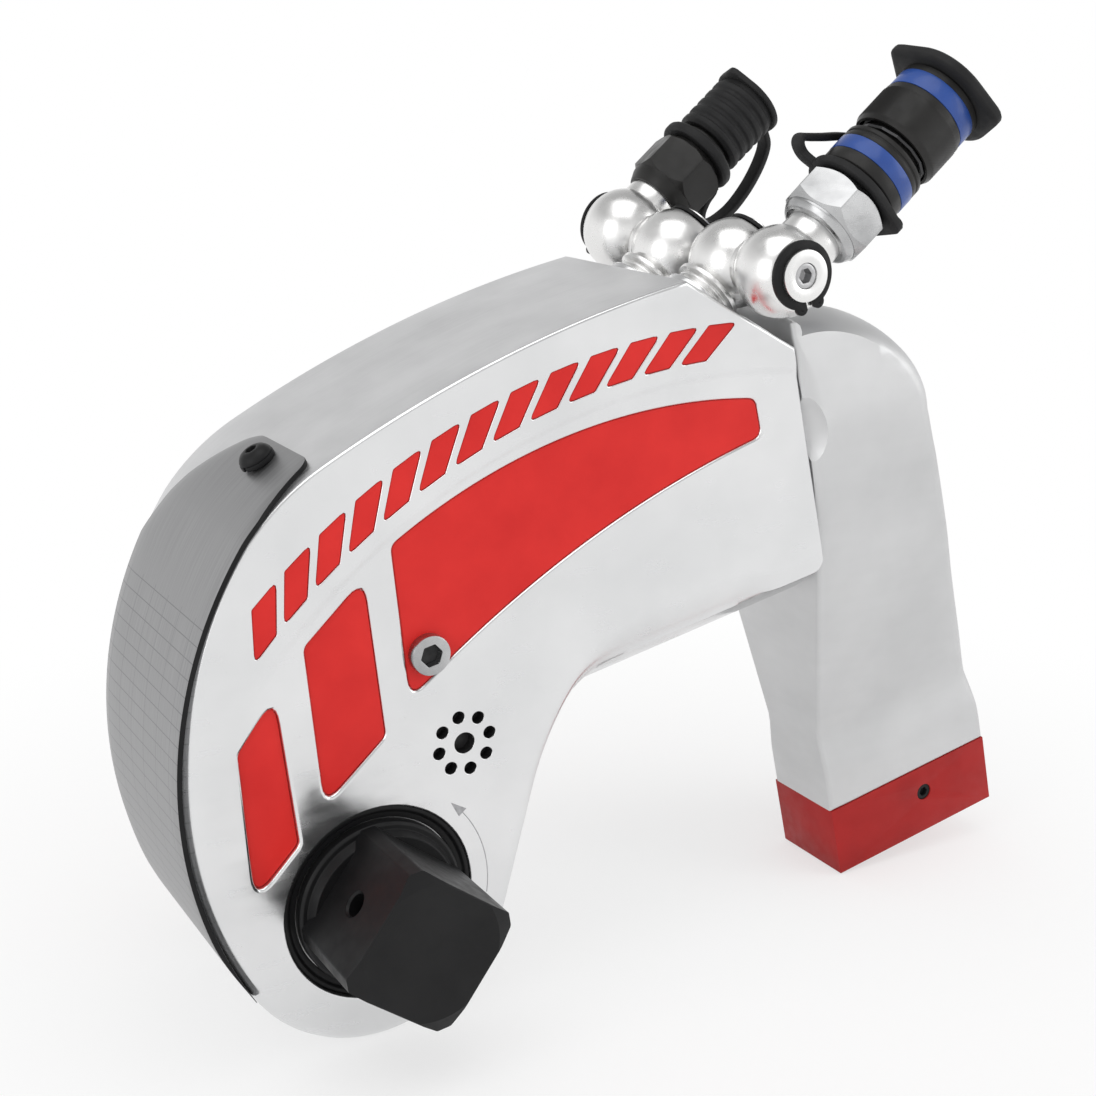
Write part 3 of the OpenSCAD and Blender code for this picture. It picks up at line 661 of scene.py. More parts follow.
# Bushes: blackened steel rings that are pressed into both sides of the head and carry the ratchet.
# Their outer face is turned with a shallow step.
oxide = surface("black_oxide", 0.0, [(0.006, 0.006, 0.0065), (0.011, 0.011, 0.0115), 45], [0.34, 0.52, 220],
                [0.00002, 0.3, 1100, 2], specular=0.2)

bush_face, bush_back, hub_r = 34.5, 21.4, 25.4
to_drive, to_back = Matrix.Rotation(pi / 2, 4, "X"), Matrix.Rotation(-pi / 2, 4, "X")
bushes = bmesh.new()
for way in (to_drive, to_back):
    add(bushes, turned([(hub_r + 0.05, bush_back), (bush_r - 0.05, bush_back), (bush_r - 0.05, bush_face),
                        (bush_r - 1.3, bush_face), (bush_r - 2, bush_face - 0.8),
                        (hub_r + 0.05, bush_face - 0.8)], 0.25, 96), way)
piece("bush_rings", bushes, [oxide], "drive_bushes")


# Square drive: one steel forging with a round collar, milled to a square with flattened corners.
# Its end is turned off to a cone, and a cross hole takes the pin that holds the socket.
def combined(bm, tool, way):
    """Two closed parts cut, joined or overlapped."""
    solids = []
    for part in (bm, tool):
        solids.append(bpy.data.objects.new("solid", meshed("solid", part)))
        scene.collection.objects.link(solids[-1])
    change = solids[0].modifiers.new("change", "BOOLEAN")
    change.operation, change.solver, change.object = way, "EXACT", solids[1]
    done = bmesh.new()
    done.from_object(solids[0], bpy.context.evaluated_depsgraph_get())
    for made in solids:
        mesh = made.data
        bpy.data.objects.remove(made)
        bpy.data.meshes.remove(mesh)
    return done


square_half, square_corner, square_turn = 19.05, 16.05, 41.2
square_tip, square_root = half_w + 34.7, 33
collar_r, tip_r = 25.2, 20.4
lock_hole_r, lock_hole_at = 3.4, half_w + 34.7 / 2
corner_turn = degrees(atan2(square_corner, square_half))
corner_reach = hypot(square_half, square_corner)
square_outline = [at((0, 0), corner_reach, square_turn + 90 * i + s * corner_turn)
                  for i in range(4) for s in (-1, 1)]
bar_ends = [[(p.x, -y, p.y) for p in square_outline] for y in (square_root, square_tip)]
square_bar = bmesh.new()
closed(square_bar, bar_ends)
soften(square_bar, 0.45)
barrel = turned([(0, square_root - 1), (collar_r, square_root - 1), (collar_r, square_tip - 1.9),
                 (tip_r, square_tip), (0, square_tip)], 0, 120)
barrel.transform(to_drive)
drive = combined(square_bar, barrel, "INTERSECT")
pin_hole = turned([(0, 0), (lock_hole_r, 0), (lock_hole_r, 18.2), (lock_hole_r + 0.6, 18.9),
                   (lock_hole_r + 0.6, 40), (0, 40)], 0, 48)
pin_hole.transform(Matrix.Translation((0, -lock_hole_at, 0)) @ Matrix.Rotation(radians(-square_turn), 4, "Y"))
drive = combined(drive, pin_hole, "DIFFERENCE")
add(drive, turned([(0, square_root), (collar_r - 0.05, square_root), (collar_r - 0.05, half_w + 0.2),
                   (collar_r - 0.8, half_w + 0.9), (collar_r - 2.2, half_w + 0.9),
                   (collar_r - 3.4, half_w + 3.6), (0, half_w + 3.6)], 0.2, 96), to_drive)
piece("square_drive_end", drive, [oxide], "square_drive", crease=12)


# Back of the drive: a knurled retainer that is screwed to the drive's end, and the red button in
# it that lets the drive be pulled out.
def eased(name, node, finish, width):
    """A copy of a solid with its sharp edges rounded; width in metres."""
    bm = bmesh.new()
    bm.from_mesh(frame["nodes"][node].data)
    bmesh.ops.remove_doubles(bm, verts=bm.verts, dist=1e-6)
    bmesh.ops.dissolve_limit(bm, angle_limit=radians(0.3), verts=bm.verts, edges=bm.edges)
    ease(bm, width, 35, clamp=True)
    return piece(name, bm, [finish], node, Matrix())


paint = surface("red_paint", 0.0, [(0.31, 0.014, 0.013), (0.41, 0.02, 0.019), 50], [0.4, 0.56, 260],
                [0.00003, 0.4, 1800, 2], specular=0.2)
eased("retainer_knob", "drive_retainer", oxide, 0.00035)
eased("release_button_cap", "retainer_button", paint, 0.0005)


# Back cover: a steel sheet that is rolled round the back and runs out in a tab on top.
# It is brushed along its length and lightly etched with ruled lines, and one screw holds it.
cover_t, cover_end, cover_low, tab_round, end_taper, far_taper = 1.6, 14.5, 198.7, 4, 24, 0.12
cover_right = [(-6, -half_w), (cover_end, -30)]
cover_left = [(-20, half_w), (-4, 26), (cover_end, 11)]
cover_top = degrees(acos((cover_end - top_c.x) / top_r))
tab_length = radians(crest_top - cover_top) * top_r
cover_length = tab_length + 2 * crest_run + radians(cover_low - crest_flank) * flank_r


def along(table, x):
    """Straight runs between the (place, value) pairs of a table."""
    if x <= table[0][0]:
        return table[0][1]
    for (x0, v0), (x1, v1) in zip(table, table[1:]):
        if x <= x1:
            return v0 + (v1 - v0) * (x - x0) / (x1 - x0)
    return table[-1][1]


def cover_spot(run, across, lift):
    """A point of the cover: run from its tab's end, across from 0 to 1 over its width there."""
    beyond = run - tab_length - 2 * crest_run
    lift *= 1 - 0.85 * smooth((run - cover_length + end_taper) / end_taper)
    lift *= 1 - 0.7 * smooth((across - 1 + far_taper) / far_taper)
    if run < tab_length:
        p = at(top_c, top_r + lift, cover_top + degrees(run / top_r))
    elif beyond < 0:
        p = over_crest(lift, 1 + beyond / (2 * crest_run))
    else:
        p = at(flank_c, flank_r + lift, crest_flank + degrees(beyond / flank_r))
    inset = tab_round - sqrt(tab_round ** 2 - (tab_round - min(run, tab_round)) ** 2)
    low, high = along(cover_right, p.x) + inset, along(cover_left, p.x) - inset
    return Vector((p.x, low + (high - low) * across, p.y))


cover = bmesh.new()
bmesh.ops.create_grid(cover, x_segments=110, y_segments=12, size=0.5)
ruled = cover.loops.layers.uv.new("ruled")
for vert in cover.verts:
    share = vert.co.x + 0.5
    vert.co = (share ** 1.5 * cover_length, vert.co.y + 0.5, 0)
for face in cover.faces:
    for loop in face.loops:
        run, across = loop.vert.co.xy
        loop[ruled].uv = (run * 0.001, cover_spot(run, across, 0).y * 0.001)
shell = bmesh.ops.duplicate(cover, geom=cover.verts[:] + cover.edges[:] + cover.faces[:])
upper = {v for v in shell["geom"] if isinstance(v, bmesh.types.BMVert)}
rims = [e for e in cover.edges if e.is_boundary]
lower_rim = [e for e in rims if e.verts[0] not in upper]
upper_rim = [e for e in rims if e.verts[0] in upper]
for vert in cover.verts:
    vert.co = cover_spot(vert.co.x, vert.co.y, cover_t if vert in upper else 0)
for face in bmesh.ops.bridge_loops(cover, edges=lower_rim + upper_rim)["faces"]:
    face.material_index = 1
soften(cover, 0.2, 60)

brushed = surface("brushed_sheet", 1.0, (0.4, 0.4, 0.405, 1), 0.44)
over_sheet = wired(brushed.node_tree, "UVMap", uv_map="ruled")["UV"]
along_sheet = wired(brushed.node_tree, "SeparateXYZ", {0: over_sheet})
run_of, across_of = along_sheet["X"], along_sheet["Y"]
rule_gap, rule_w, column_gap, column_w, ruled_from, ruled_to = 0.0046, 0.00028, 0.0117, 0.00022, 0.052, 0.142


def sums(operation, *values):
    """One step of arithmetic on the ruled lines."""
    return wired(brushed.node_tree, "Math", enumerate(values), operation=operation)[0]


def lines_of(value, gap, width):
    """1 on thin lines that repeat along a value, else 0."""
    return sums("LESS_THAN", sums("FRACT", sums("DIVIDE", sums("ADD", value, 1.0), gap)), width / gap)


ruled_lines = sums("MAXIMUM", lines_of(run_of, rule_gap, rule_w), lines_of(across_of, column_gap, column_w))
ruled_part = sums("MULTIPLY", sums("GREATER_THAN", run_of, ruled_from), sums("LESS_THAN", run_of, ruled_to))
drawn_out = wired(brushed.node_tree, "Mapping", {"Vector": over_sheet, "Scale": (1, 40, 1)})["Vector"]
brush_fine = wired(brushed.node_tree, "TexNoise", {"Vector": drawn_out, "Scale": 40, "Detail": 5})["Fac"]
brush_shade = sums("SUBTRACT", sums("ADD", sums("MULTIPLY", brush_fine, 0.5), 0.25),
                   sums("MULTIPLY", sums("MULTIPLY", ruled_lines, ruled_part), 0.3))
spread(brushed, "Base Color", (0.22, 0.22, 0.225), (0.43, 0.43, 0.435), brush_shade)
spread(brushed, "Roughness", 0.36, 0.52, brush_fine)
relief(brushed, 0.00006, 0.5, brush_shade)
piece("rolled_cover", cover, [brushed, oxide], "back_cover")


# Cover screw: a blackened steel button head with a hexagon socket, on a split spring washer.
# It holds the tab of the cover down, square to the curved top.
tab_x, tab_y = 7, -9.5
tab = (Matrix.Translation((top_c.x, tab_y, top_c.y))
       @ Matrix.Rotation(asin((tab_x - top_c.x) / top_r), 4, "Y")
       @ Matrix.Translation((0, 0, top_r + cover_t)))
button_head = bmesh.new()
add(button_head, turned([(0, 2.3), (1.8, 2.3), (1.8, 4.2), (2.7, 4.1), (3.8, 3.6), (4.6, 2.7), (5, 1.9),
                         (5, 1.3), (2.8, 1.3), (2.8, -17), (0, -17)], 0.12, 48, six=1.8), tab)
piece("button_screw", button_head, [oxide], "cover_screw")
eased("split_washer", "cover_washer", oxide, 0.00015)


# Side screws: zinc plated steel screws that close the cross drillings in the pocket floors.
# Their heads are turned with a hexagon socket, whose floor carries a dark disc of painted shade.
zinc = surface("bright_zinc", 1.0, [(0.36, 0.363, 0.367), (0.56, 0.563, 0.567), 70],
               [0.17, 0.36, 150, 4, (1, 1, 3)], [0.00003, 0.25, 800, 3])

screw_x, screw_z = 32.2, 67.5
socket_heads = bmesh.new()
for side, way in ((-1, to_drive), (1, to_back)):
    seat = Matrix.Translation((screw_x, side * pocket_floor, screw_z)) @ way
    add(socket_heads, turned([(0, 1), (3.4, 1), (3.4, 4), (5.9, 4), (5.9, 0), (3.9, 0), (3.9, -9), (0, -9)],
                             0.35, 48, six=3.4), seat)
    # A thin dark hexagon at the bottom of the socket is painted shade.
    add(socket_heads, turned([(0, 0.9), (3.3, 0.9), (3.3, 1.3), (0, 1.3)], 0, 48, six=3.3), seat, 1)
piece("socket_heads", socket_heads, [zinc, painted_shade], "side_screws")


# Reaction arm: a forged and polished aluminium arm that slides onto the splined boss.
# Its side view is carried across its width, broad round the spline and slim above the foot, with
# a soft bevel along the back and the crowned top and a flare down the front edges.
arm_x, arm_low, arm_top, arm_round, arm_heel, arm_nose = 169.8, -56.3, 125, 44, 238.7, 2.5
dish_r, dish_x, dish_y, dish_z = 22, 157.8, 50, 89
arm_round_c = Vector((arm_x + 2.9, arm_top - arm_round))
arm_back = [(arm_low, arm_heel), (-44, arm_heel), (-35, 237.6), (-12, 233.7), (14, 228.7), (34, 225.5),
            (52, 221.8), (68, 218.3), (80, 216.9), (90, 216.7)]
arm_width = [(arm_low, 16.4), (-42, 16.4), (-29, 14.5), (66, 36), (88, 37.6), (113, 36), (118.5, 35)]


def blended(table, z, reach):
    """A table's value with its kinks rounded."""
    return (along(table, z - reach) + 2 * along(table, z) + along(table, z + reach)) / 4


def arm_wide(p):
    """Half the arm's width at a point of its side view."""
    return blended(arm_width, p.y, 1.6)


def arm_edge(p):
    """Bevel along the side view: its reach inward, its reach across, and how round it is."""
    flare = smooth((p.y - 36) / 28) * (1 - smooth((p.y - 100) / 20))
    front = Vector((1.5 + 4.5 * flare, 1.5 + 1.1 * flare, 1))
    lower, upper = smooth((p.y + 54) / 34), smooth((p.y - 84) / 41)
    back = Vector((1.2 + 3.2 * lower + 2.2 * upper, 1.2 + 1.2 * lower + 9.4 * upper ** 2, 1 - 0.6 * upper))
    return front.lerp(back, smooth((p.x - arm_x) / 2.5))


arm_rise = [p.y for p in line((arm_heel, arm_low), (arm_heel, arm_round_c.y), 50)[1:-1]]
arm_side = (line((arm_x, arm_low), (arm_heel, arm_low), 8)
            + [Vector((blended(arm_back, z, 3), z)) for z in arm_rise]
            + arc(arm_round_c, arm_round, 0, 90, 30)
            + arc((arm_x + arm_nose, arm_top - arm_nose), arm_nose, 90, 180, 5)
            + line((arm_x, arm_top - arm_nose), (arm_x, arm_low), 50)[1:-1])
arm_in = grown(arm_side, -1)
arm_halves = []
for i in range(8):
    t = i / 7
    outline = []
    for p, q in zip(arm_side, arm_in):
        inward, across, roundness = arm_edge(p)
        flat = (1 - roundness) * t
        spot = p.lerp(q, inward * (roundness * (1 - cos(t * pi / 2)) + flat))
        outline.append((spot, arm_wide(spot) - across * (1 - roundness * sin(t * pi / 2) - flat)))
    arm_halves.append(outline)
arm = bmesh.new()
skin(arm, [on_side(outline, -1) for outline in arm_halves[::-1]]
     + [on_side(outline, 1) for outline in arm_halves])
arm_grid = [Vector((arm_x + 6 * i, arm_low + 4 * j)) for i in range(13) for j in range(46)]
for side in (-1, 1):
    pierced_face(arm, [p for p, _ in arm_halves[-1]], [], arm_grid, arm_wide, side)
soften(arm, 0)
socket = bmesh.new()
socket_rings = [[(x, p.x, barrel_z + p.y) for p in spline(0.2)] for x in (arm_x - 8, boss_end + 1.5)]
closed(socket, socket_rings)
arm = combined(arm, soften(socket, 0), "DIFFERENCE")
for side in (-1, 1):
    dish = bmesh.new()
    bmesh.ops.create_uvsphere(dish, u_segments=96, v_segments=48, radius=dish_r)
    dish.transform(Matrix.Translation((dish_x, side * dish_y, dish_z)))
    arm = combined(arm, dish, "DIFFERENCE")
forged = surface("forged_aluminium", 0.7, [(0.56, 0.563, 0.567), (0.64, 0.642, 0.646), 26],
                 [0.36, 0.48, 50, 4, (1, 1, 5)], [0.00002, 0.3, 700, 2, (1, 1, 0.1)])
piece("forged_arm", arm, [forged], "reaction_arm", crease=24, even=True)


# Foot: a painted steel block on the end of the arm that bears on what takes the reaction.
# It is held from both sides by blackened set screws.
eased("foot_block", "reaction_foot", paint, 0.0005)
foot_x, foot_z, foot_y = 209.9, -66.3, 16.4
set_screws = bmesh.new()
for side, way in ((-1, to_drive), (1, to_back)):
    add(set_screws, turned([(0, -2.2), (1.7, -2.2), (1.7, -0.4), (2.95, -0.4), (2.95, -6.2), (0, -6.2)],
                           0.2, 36, six=1.7), Matrix.Translation((foot_x, side * foot_y, foot_z)) @ way)
piece("set_screws", set_screws, [oxide], "foot_screws")


# Swivel posts: turned steel posts in the shoulder of the body that the inner balls turn on,
# with grooved collars below the balls and a snap ring above each.
nickel = surface("satin_nickel", 1.0, [(0.75, 0.747, 0.74), (0.85, 0.847, 0.84), 40], [0.22, 0.36, 180],
                 [0.00002, 0.25, 1300, 2])

journal_r, ball_r, clip_flat = 7.6, 13.8, 9.4
posts = bmesh.new()
for side in (-1, 1):
    add(posts, turned([(0, -29), (8, -29), (8, -17.4), (9.6, -16.6), (9.6, -15.6), (8.7, -15.2), (8.7, -14.8),
                       (9.7, -14.4), (9.7, -13.8), (9, -13.5), (9, -13.2), (10.9, -12.9), (10.9, -11.5),
                       (journal_r, -11.4), (journal_r, 9.8), (journal_r - 0.6, 9.8), (journal_r - 0.6, 10.9),
                       (journal_r, 10.9), (journal_r, 12.4), (0, 12.4)], 0.12), post(side))
piece("grooved_posts", posts, [nickel], "swivel_posts")
eased("post_snap_rings", "post_clips", oxide, 0.00015)


# Balls: turned and nickel plated swivel balls. The inner one turns on its post and has a cross
# journal, and the outer one turns on that and carries the coupler on its neck.
link, rear_turn, clip_turn = 24.35, 15, -28


def inner_ball(end, place):
    """Inner ball with its cross journal toward -Y."""
    bore = journal_r + 0.05
    low, high = degrees(asin(-11 / ball_r)), degrees(asin(clip_flat / ball_r))
    curve = [tuple(p) for p in arc((0, 0), ball_r, low, high, 26)]
    ball = turned([(bore, -11)] + curve + [(bore, clip_flat)], 0.25, 96)
    bmesh.ops.bisect_plane(ball, geom=ball.verts[:] + ball.edges[:] + ball.faces[:], plane_co=(0, -11.4, 0),
                           plane_no=(0, -1, 0), clear_outer=True)
    bmesh.ops.holes_fill(ball, edges=[e for e in ball.edges if e.is_boundary])
    add(ball, turned([(0, 9), (8.8, 9), (8.8, 12.3), (journal_r, 12.3), (journal_r, 34.15),
                      (journal_r - 0.6, 34.15), (journal_r - 0.6, 35.25), (journal_r, 35.25),
                      (journal_r, link + 12.4), (3.8, link + 12.4), (3.8, link + 6), (0, link + 6)], 0.2),
        to_drive)
    piece(end + "_inner_ball", ball, [nickel], end + "_swivel", stood @ place)


def outer_ball(end, place, side):
    """Outer ball, bored along Y, with its neck along Z; its snap ring is on the side given."""
    bore = journal_r + 0.05
    low, high = -degrees(acos(bore / ball_r)), degrees(asin(clip_flat / ball_r))
    curve = [tuple(p) for p in arc((0, 0), ball_r, low, high, 28)]
    ball = turned(curve + [(bore, clip_flat)], 0.25, 96)
    ball.transform(to_drive if side < 0 else to_back)
    add(ball, turned([(0, 9), (9.3, 9), (9.3, 16.4), (0, 16.4)], 0.3), Matrix())
    piece(end + "_ball", ball, [nickel], end + "_outer_ball", stood @ place)


def cross_plug(end, place):
    """Socket plug in the end of the cross journal."""
    plug = turned([(0, link + 6.2), (3.7, link + 6.2), (3.7, link + 12), (2.3, link + 12), (2.3, link + 8.8),
                   (0, link + 8.8)], 0.25, 48, six=2.3)
    piece(end + "_socket_plug", plug, [steel], end + "_plug", stood @ place @ to_drive)


steel = surface("bare_steel", 1.0, [(0.44, 0.44, 0.445), (0.57, 0.57, 0.575), 60], [0.27, 0.42, 240],
                [0.00002, 0.3, 900, 3])

front_post = post(-1)
rear_turned = post(1) @ Matrix.Rotation(radians(rear_turn), 4, "Z")
rear_post = rear_turned @ Matrix.Rotation(pi, 4, "Z")
front_axis = front_post @ Matrix.Translation((0, -link, 0))
rear_axis = rear_turned @ Matrix.Translation((0, link, 0))
front_line, rear_line = stood @ front_axis, stood @ rear_axis
inner_ball("front", front_post)
inner_ball("rear", rear_post)
outer_ball("front", front_axis, -1)
outer_ball("rear", rear_axis, 1)
cross_plug("front", front_post)
cross_plug("rear", rear_post)
clip_turned = front_line @ Matrix.Rotation(radians(clip_turn), 4, "Y") @ front_line.inverted()
eased("front_snap_ring", "front_clip", oxide, 0.00015).data.transform(clip_turned)
eased("rear_snap_ring", "rear_clip", oxide, 0.00015)


# Front adapter: a zinc plated hexagon that is screwed into the ball's neck, with a bright collar
# under the coupler.
def hexagon(low, high, corner_r, neck_r, chamfer):
    """A six-sided part with both ends turned down to a cone."""
    prism = turned([(0, low), (corner_r, low), (corner_r, high), (0, high)], 0.35, 6)
    blank = turned([(0, low), (neck_r, low), (corner_r + 0.05, low + chamfer),
                    (corner_r + 0.05, high - chamfer), (neck_r, high), (0, high)], 0, 120)
    return combined(prism, blank, "INTERSECT")


adapter = hexagon(18, 30.4, 15.4, 12.8, 2.6)
add(adapter, turned([(9.35, 15.3), (10.6, 15.2), (11.6, 15.6), (12.6, 17.2), (12.6, 18.3), (0, 18.3)], 0.2))
add(adapter, turned([(0, 30), (9.9, 30), (9.9, 33.45), (13.3, 33.45), (13.3, 33.95), (9.9, 33.95),
                     (9.9, 37.9), (0, 37.9)], 0.1))
piece("zinc_hexagon", adapter, [zinc], "front_adapter", front_line, crease=20)


# Front coupler: a blackened quick coupler with a fixed body and a knurled sleeve that slides
# back. Each carries a plain blue band.
coupler_black = surface("blackened_coupler", 0.2, [(0.012, 0.0117, 0.0114), (0.022, 0.0213, 0.0205), 60],
                        [0.3, 0.48, 260], [0.00002, 0.3, 1200, 2], specular=0.3)

body = turned([(9.95, 34), (13.2, 34), (13.8, 34.6), (13.8, 38.4), (13.2, 38.4), (13.2, 43.6), (13.8, 43.6),
               (13.8, 45.2), (13.4, 45.4), (13.4, 45.9), (13.8, 46.1), (13.8, 47.4), (10.4, 47.4),
               (10.4, 73.5), (7, 73.5), (7, 46), (0, 46), (0, 38), (9.95, 38)], 0.1, 96)
piece("coupler_shell", body, [coupler_black], "coupler_body", front_line)

knurl_r, knurl_low, knurl_high, knurl_rows, knurl_turns = 14, 52.2, 64.2, 22, 156
knurl_line = [(knurl_r, knurl_low + (knurl_high - knurl_low) * i / knurl_rows) for i in range(knurl_rows + 1)]
sleeve_end = [(14.1, 65.2), (13.8, 66.1), (13.2, 66.2), (13.2, 71.8), (13.8, 71.8), (13.8, 73.8),
              (10.5, 73.8), (10.5, 62), (12.6, 62)]
sleeve = turned([(12.6, 51), (13.4, 51)] + knurl_line + sleeve_end, 0, knurl_turns)
row_h, step_a = (knurl_high - knurl_low) / knurl_rows, 360 / knurl_turns
for vert in sleeve.verts:
    row = round((vert.co.z - knurl_low) / row_h)
    on_knurl = abs(vert.co.xy.length - knurl_r) < 0.02 and 0 < row < knurl_rows
    if on_knurl and (row + round(turn_of(vert.co, (0, 0)) / step_a)) % 2:
        vert.co.xy *= (knurl_r + 0.32) / knurl_r
piece("knurled_sleeve", sleeve, [coupler_black], "coupler_sleeve", front_line)

blue = surface("blue_band", 0.0, [(0.008, 0.047, 0.24), (0.012, 0.064, 0.3), 80], [0.36, 0.5, 300],
               [0.00002, 0.25, 1500, 2], coat=0.2)
for part, low, high in (("body", 38.5, 43.5), ("sleeve", 66.25, 71.75)):
    band = turned([(13.22, low), (13.9, low), (13.9, high), (13.22, high)], 0.12, 96)
    piece(part + "_ring", band, [blue], part + "_band", front_line)


# Rubber of the front coupler: a tether ring round the adapter, a moulded strap and the dust cap
# that plugs the coupler's mouth.
rubber = surface("cap_rubber", 0.0, [(0.011, 0.011, 0.0115), (0.019, 0.019, 0.0195), 50], [0.48, 0.66, 300],
                 [0.00004, 0.5, 1600, 3], specular=0.22)


def stretched(circles, count=96):
    """Outline of rubber that is drawn round circles of (centre, radius), at even turns."""
    spots = [p for centre, r in circles for p in arc(centre, r, 0, 354, 59)]
    shell = [spots[i] for i in convex_hull_2d(spots)]
    walls = [(a, Vector((b.y - a.y, a.x - b.x))) for a, b in zip(shell, shell[1:] + shell[:1])]
    done = []
    for i in range(count):
        way = at((0, 0), 1, 360 * i / count)
        done.append(way * min(n.dot(a) / n.dot(way) for a, n in walls if n.dot(way) > 1e-6))
    return done


def moulded(levels, width):
    """A closed part through (outline, height) levels, its sharp edges rounded."""
    bm = bmesh.new()
    rings = [[(p.x, p.y, z) for p in outline] for outline, z in levels]
    if levels[0] == levels[-1]:
        skin(bm, rings)
    else:
        closed(bm, rings)
    return soften(bm, width)


def strap(points, wide, thick):
    """A flat strap along a smooth route, its width along Y and its edges round."""
    spots = [Vector(p) for p in points]
    ends = [2 * spots[0] - spots[1]] + spots + [2 * spots[-1] - spots[-2]]
    route = []
    for a, b, c, d in zip(ends, ends[1:], ends[2:], ends[3:]):
        route += [0.5 * (2 * b + (c - a) * t + (2 * a - 5 * b + 4 * c - d) * t * t
                         + (3 * b - a - 3 * c + d) * t ** 3) for t in (i / 6 for i in range(6))]
    route.append(spots[-1])
    section = [p for x, y, start in ((1, 1, 0), (-1, 1, 90), (-1, -1, 180), (1, -1, 270))
               for p in arc((x * (wide / 2 - 0.7), y * (thick / 2 - 0.7)), 0.7, start, start + 90, 3)]
    rings = []
    for before, p, after in zip(route[:1] + route, route, route[1:] + route[-1:]):
        run = (after - before).normalized()
        side = (Vector((0, 1, 0)) - run * run.y).normalized()
        up = run.cross(side)
        rings.append([p + side * q.x + up * q.y for q in section])
    bm = bmesh.new()
    closed(bm, rings)
    return soften(bm, 0)


def between(made):
    """Frees a piece from its body, with its place baked into its mesh."""
    made.parent = None
    del made["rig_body"]
    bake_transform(made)


def tether(end, place, route, wide):
    """A rubber strap along a route, set with the coupler and then freed from its body."""
    made = piece(end + "_cap_strap", strap(route, wide, 2.4), [rubber], end + "_strap", stood @ place)
    between(made)


lug_way = at((0, 0), 1, -50)
ring_outline = stretched([((0, 0), 15.2), (lug_way * 15.2, 3.4)])
ring_hole = arc((0, 0), 10.25, 0, 360 - 3.75, 95)
front_ring = moulded([(ring_outline, 31), (ring_outline, 33.35), (ring_hole, 33.35), (ring_hole, 31),
                      (ring_outline, 31)], 0.35)
add(front_ring, turned([(1.2, 33.2), (2.5, 33.2), (2.5, 33.9), (1.2, 33.9)], 0.2, 32),
    Matrix.Translation((lug_way * 15.6).to_3d()))
piece("front_ring", front_ring, [rubber], "front_tether_ring", front_line)

front_route = [(-11.6, 8.2, 32.2), (-15.4, 10.8, 32.2), (-18.6, 11.4, 33), (-19.2, 12.2, 35.2),
               (-16.8, 12.6, 38), (-13.2, 13.2, 42), (-8.5, 14.8, 47.5), (-2.5, 17, 54), (0.5, 17.6, 61),
               (0.8, 17.4, 67), (0.5, 17, 72.5), (0.5, 15.8, 75.6)]
tether("front", front_axis, front_route, 4.4)

cap_lugs = [(at((0, 0), 16.6, -65), 4), (at((0, 0), 16.6, 150), 4)]
cap_plan = stretched([((0, 0), 17.4)] + cap_lugs)
cap_steps = (0.9, 74.3), (1, 75.1), (1, 77.2), (0.95, 78.2), (0.8, 78.75), (0.74, 78.2)
front_cap = moulded([([p * share for p in cap_plan], z) for share, z in cap_steps], 0.3)
add(front_cap, turned([(0, 60), (5.6, 60), (6.6, 61.4), (6.6, 74.6), (0, 74.6)], 0.3))
piece("front_cap_flange", front_cap, [rubber], "front_dust_cap", front_line)


# Rear nipple: the male half of a coupler in blackened steel, a hexagon on a turned base.
# It is screwed onto the rear ball's neck and carries its own rubber tether ring.
nipple = hexagon(19, 33, 13.8, 11.9, 1.9)
add(nipple, turned([(9.35, 14.5), (10.2, 14.4), (11.6, 17.4), (11.9, 19.2), (0, 19.2)], 0.2))
add(nipple, turned([(3.5, 60), (6.4, 60), (8.6, 56), (8.6, 40), (10, 40), (10, 32.8), (0, 32.8), (0, 34),
                    (3.5, 34)], 0.15))
piece("nipple_hexagon", nipple, [coupler_black], "rear_nipple", rear_line, crease=20)
rear_ring = turned([(10.05, 34.6), (13, 34.6), (13.6, 35.4), (13.6, 37.4), (13, 38.2), (10.05, 38.2)],
                   0.25, 96)
piece("rear_ring", rear_ring, [rubber], "rear_tether_ring", rear_line)


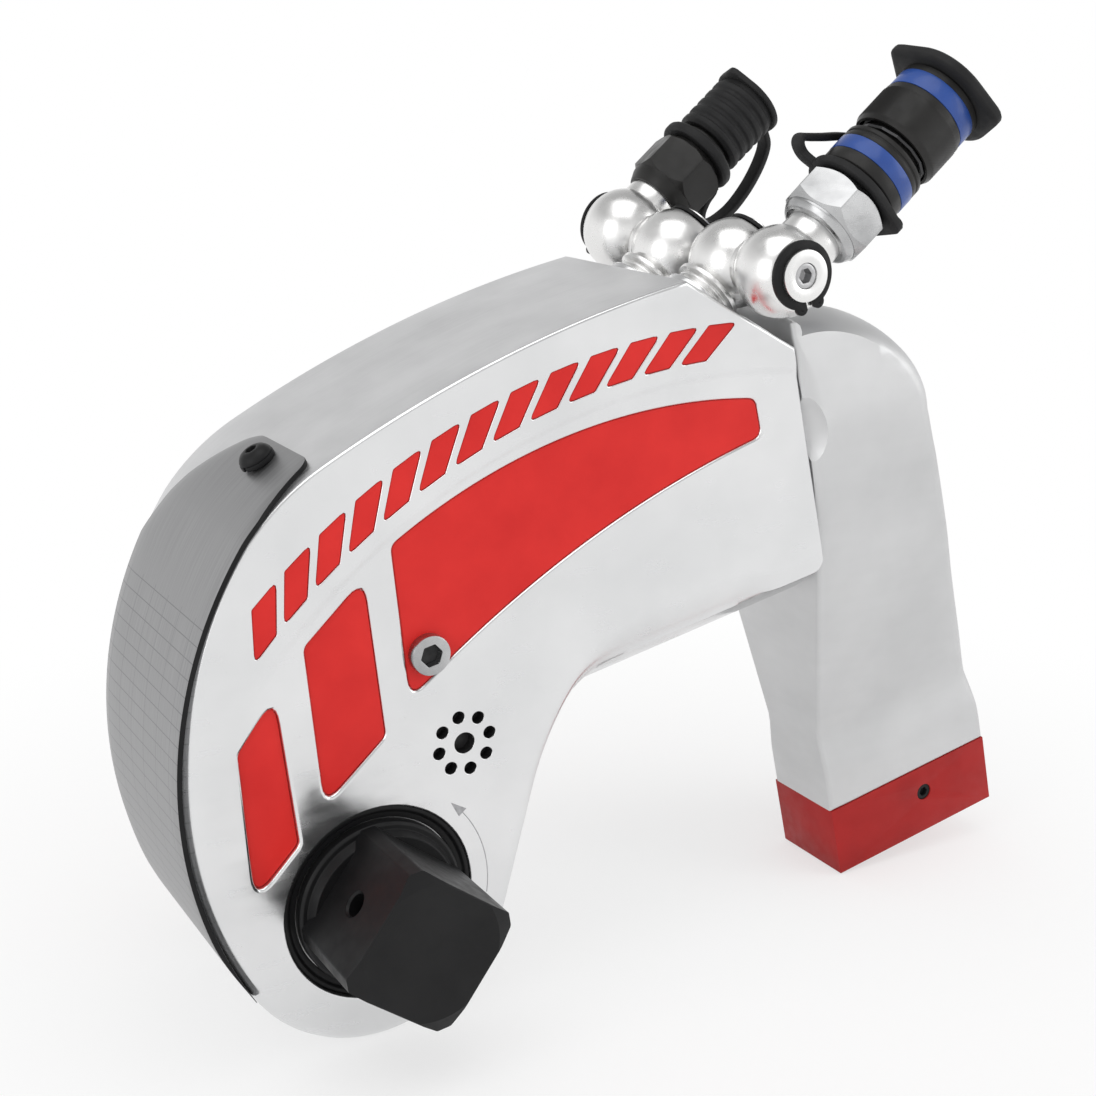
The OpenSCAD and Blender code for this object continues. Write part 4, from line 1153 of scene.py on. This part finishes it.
# Rear dust cap: a ribbed rubber cup over the nipple, closed by an eared end flange, on its own
# moulded strap.
rear_route = [(12.6, 0, 36.4), (15.2, 0, 35), (16.2, 0, 31), (18.5, 0, 27.2), (21.8, 0, 26), (25.4, 0, 29),
              (27.2, 0, 35), (27.4, 0, 41), (25.8, 0, 49), (22.6, 0, 56.5), (18.6, 0, 61.4), (13.4, 0, 62.7)]
tether("rear", rear_axis, rear_route, 5)
ribs = [(r, 41.6 + 3.9 * i + d) for i in range(5)
        for r, d in ((11.1, 0), (11.75, 0.5), (11.75, 2.2), (11.1, 2.7))]
rear_cap = turned([(8.75, 41), (10.6, 41)] + ribs + [(11.1, 61.9), (0, 61.9), (0, 60.4), (8.75, 60.4)],
                  0.15, 96)
ear_plan = stretched([((0, 0), 12.4), ((12, 0), 2.6), ((-12, 0), 2.6)])
ear_steps = (0.97, 61.6), (1, 62), (1, 63.3), (0.95, 63.8)
add(rear_cap, moulded([([p * share for p in ear_plan], z) for share, z in ear_steps], 0.2))
piece("ribbed_cap", rear_cap, [rubber], "rear_dust_cap", rear_line)


# Inner works: the ratchet, lever, pawls, ram, seals and springs keep the shape of their solids.
# They are bare and spring steel, bronze for the gland, and rubber for the seals.
spring_steel = surface("spring_steel", 0.8, (0.05, 0.05, 0.052, 1), [0.24, 0.38, 300])
bronze = surface("bronze", 1.0, [(0.44, 0.26, 0.11), (0.56, 0.34, 0.15), 80], 0.34)
seal = surface("seal_rubber", 0.0, (0.016, 0.02, 0.017, 1), [0.52, 0.68, 200])


def coil(name, node):
    """A copy of a spring's solid in spring steel, freed from its body."""
    bm = bmesh.new()
    bm.from_mesh(frame["nodes"][node].data)
    between(piece(name, bm, [spring_steel], node, Matrix()))


coil("button_coil", "retainer_spring")
coil("sleeve_coil", "sleeve_spring")
inner_finish = {"bare_steel": steel, "spring_steel": spring_steel, "bronze": bronze, "seal_rubber": seal,
                "black_oxide": oxide}
for name, node in frame["nodes"].items():
    if not node.hide_render:
        node.data.materials.clear()
        node.data.materials.append(inner_finish[slot_of[name]])
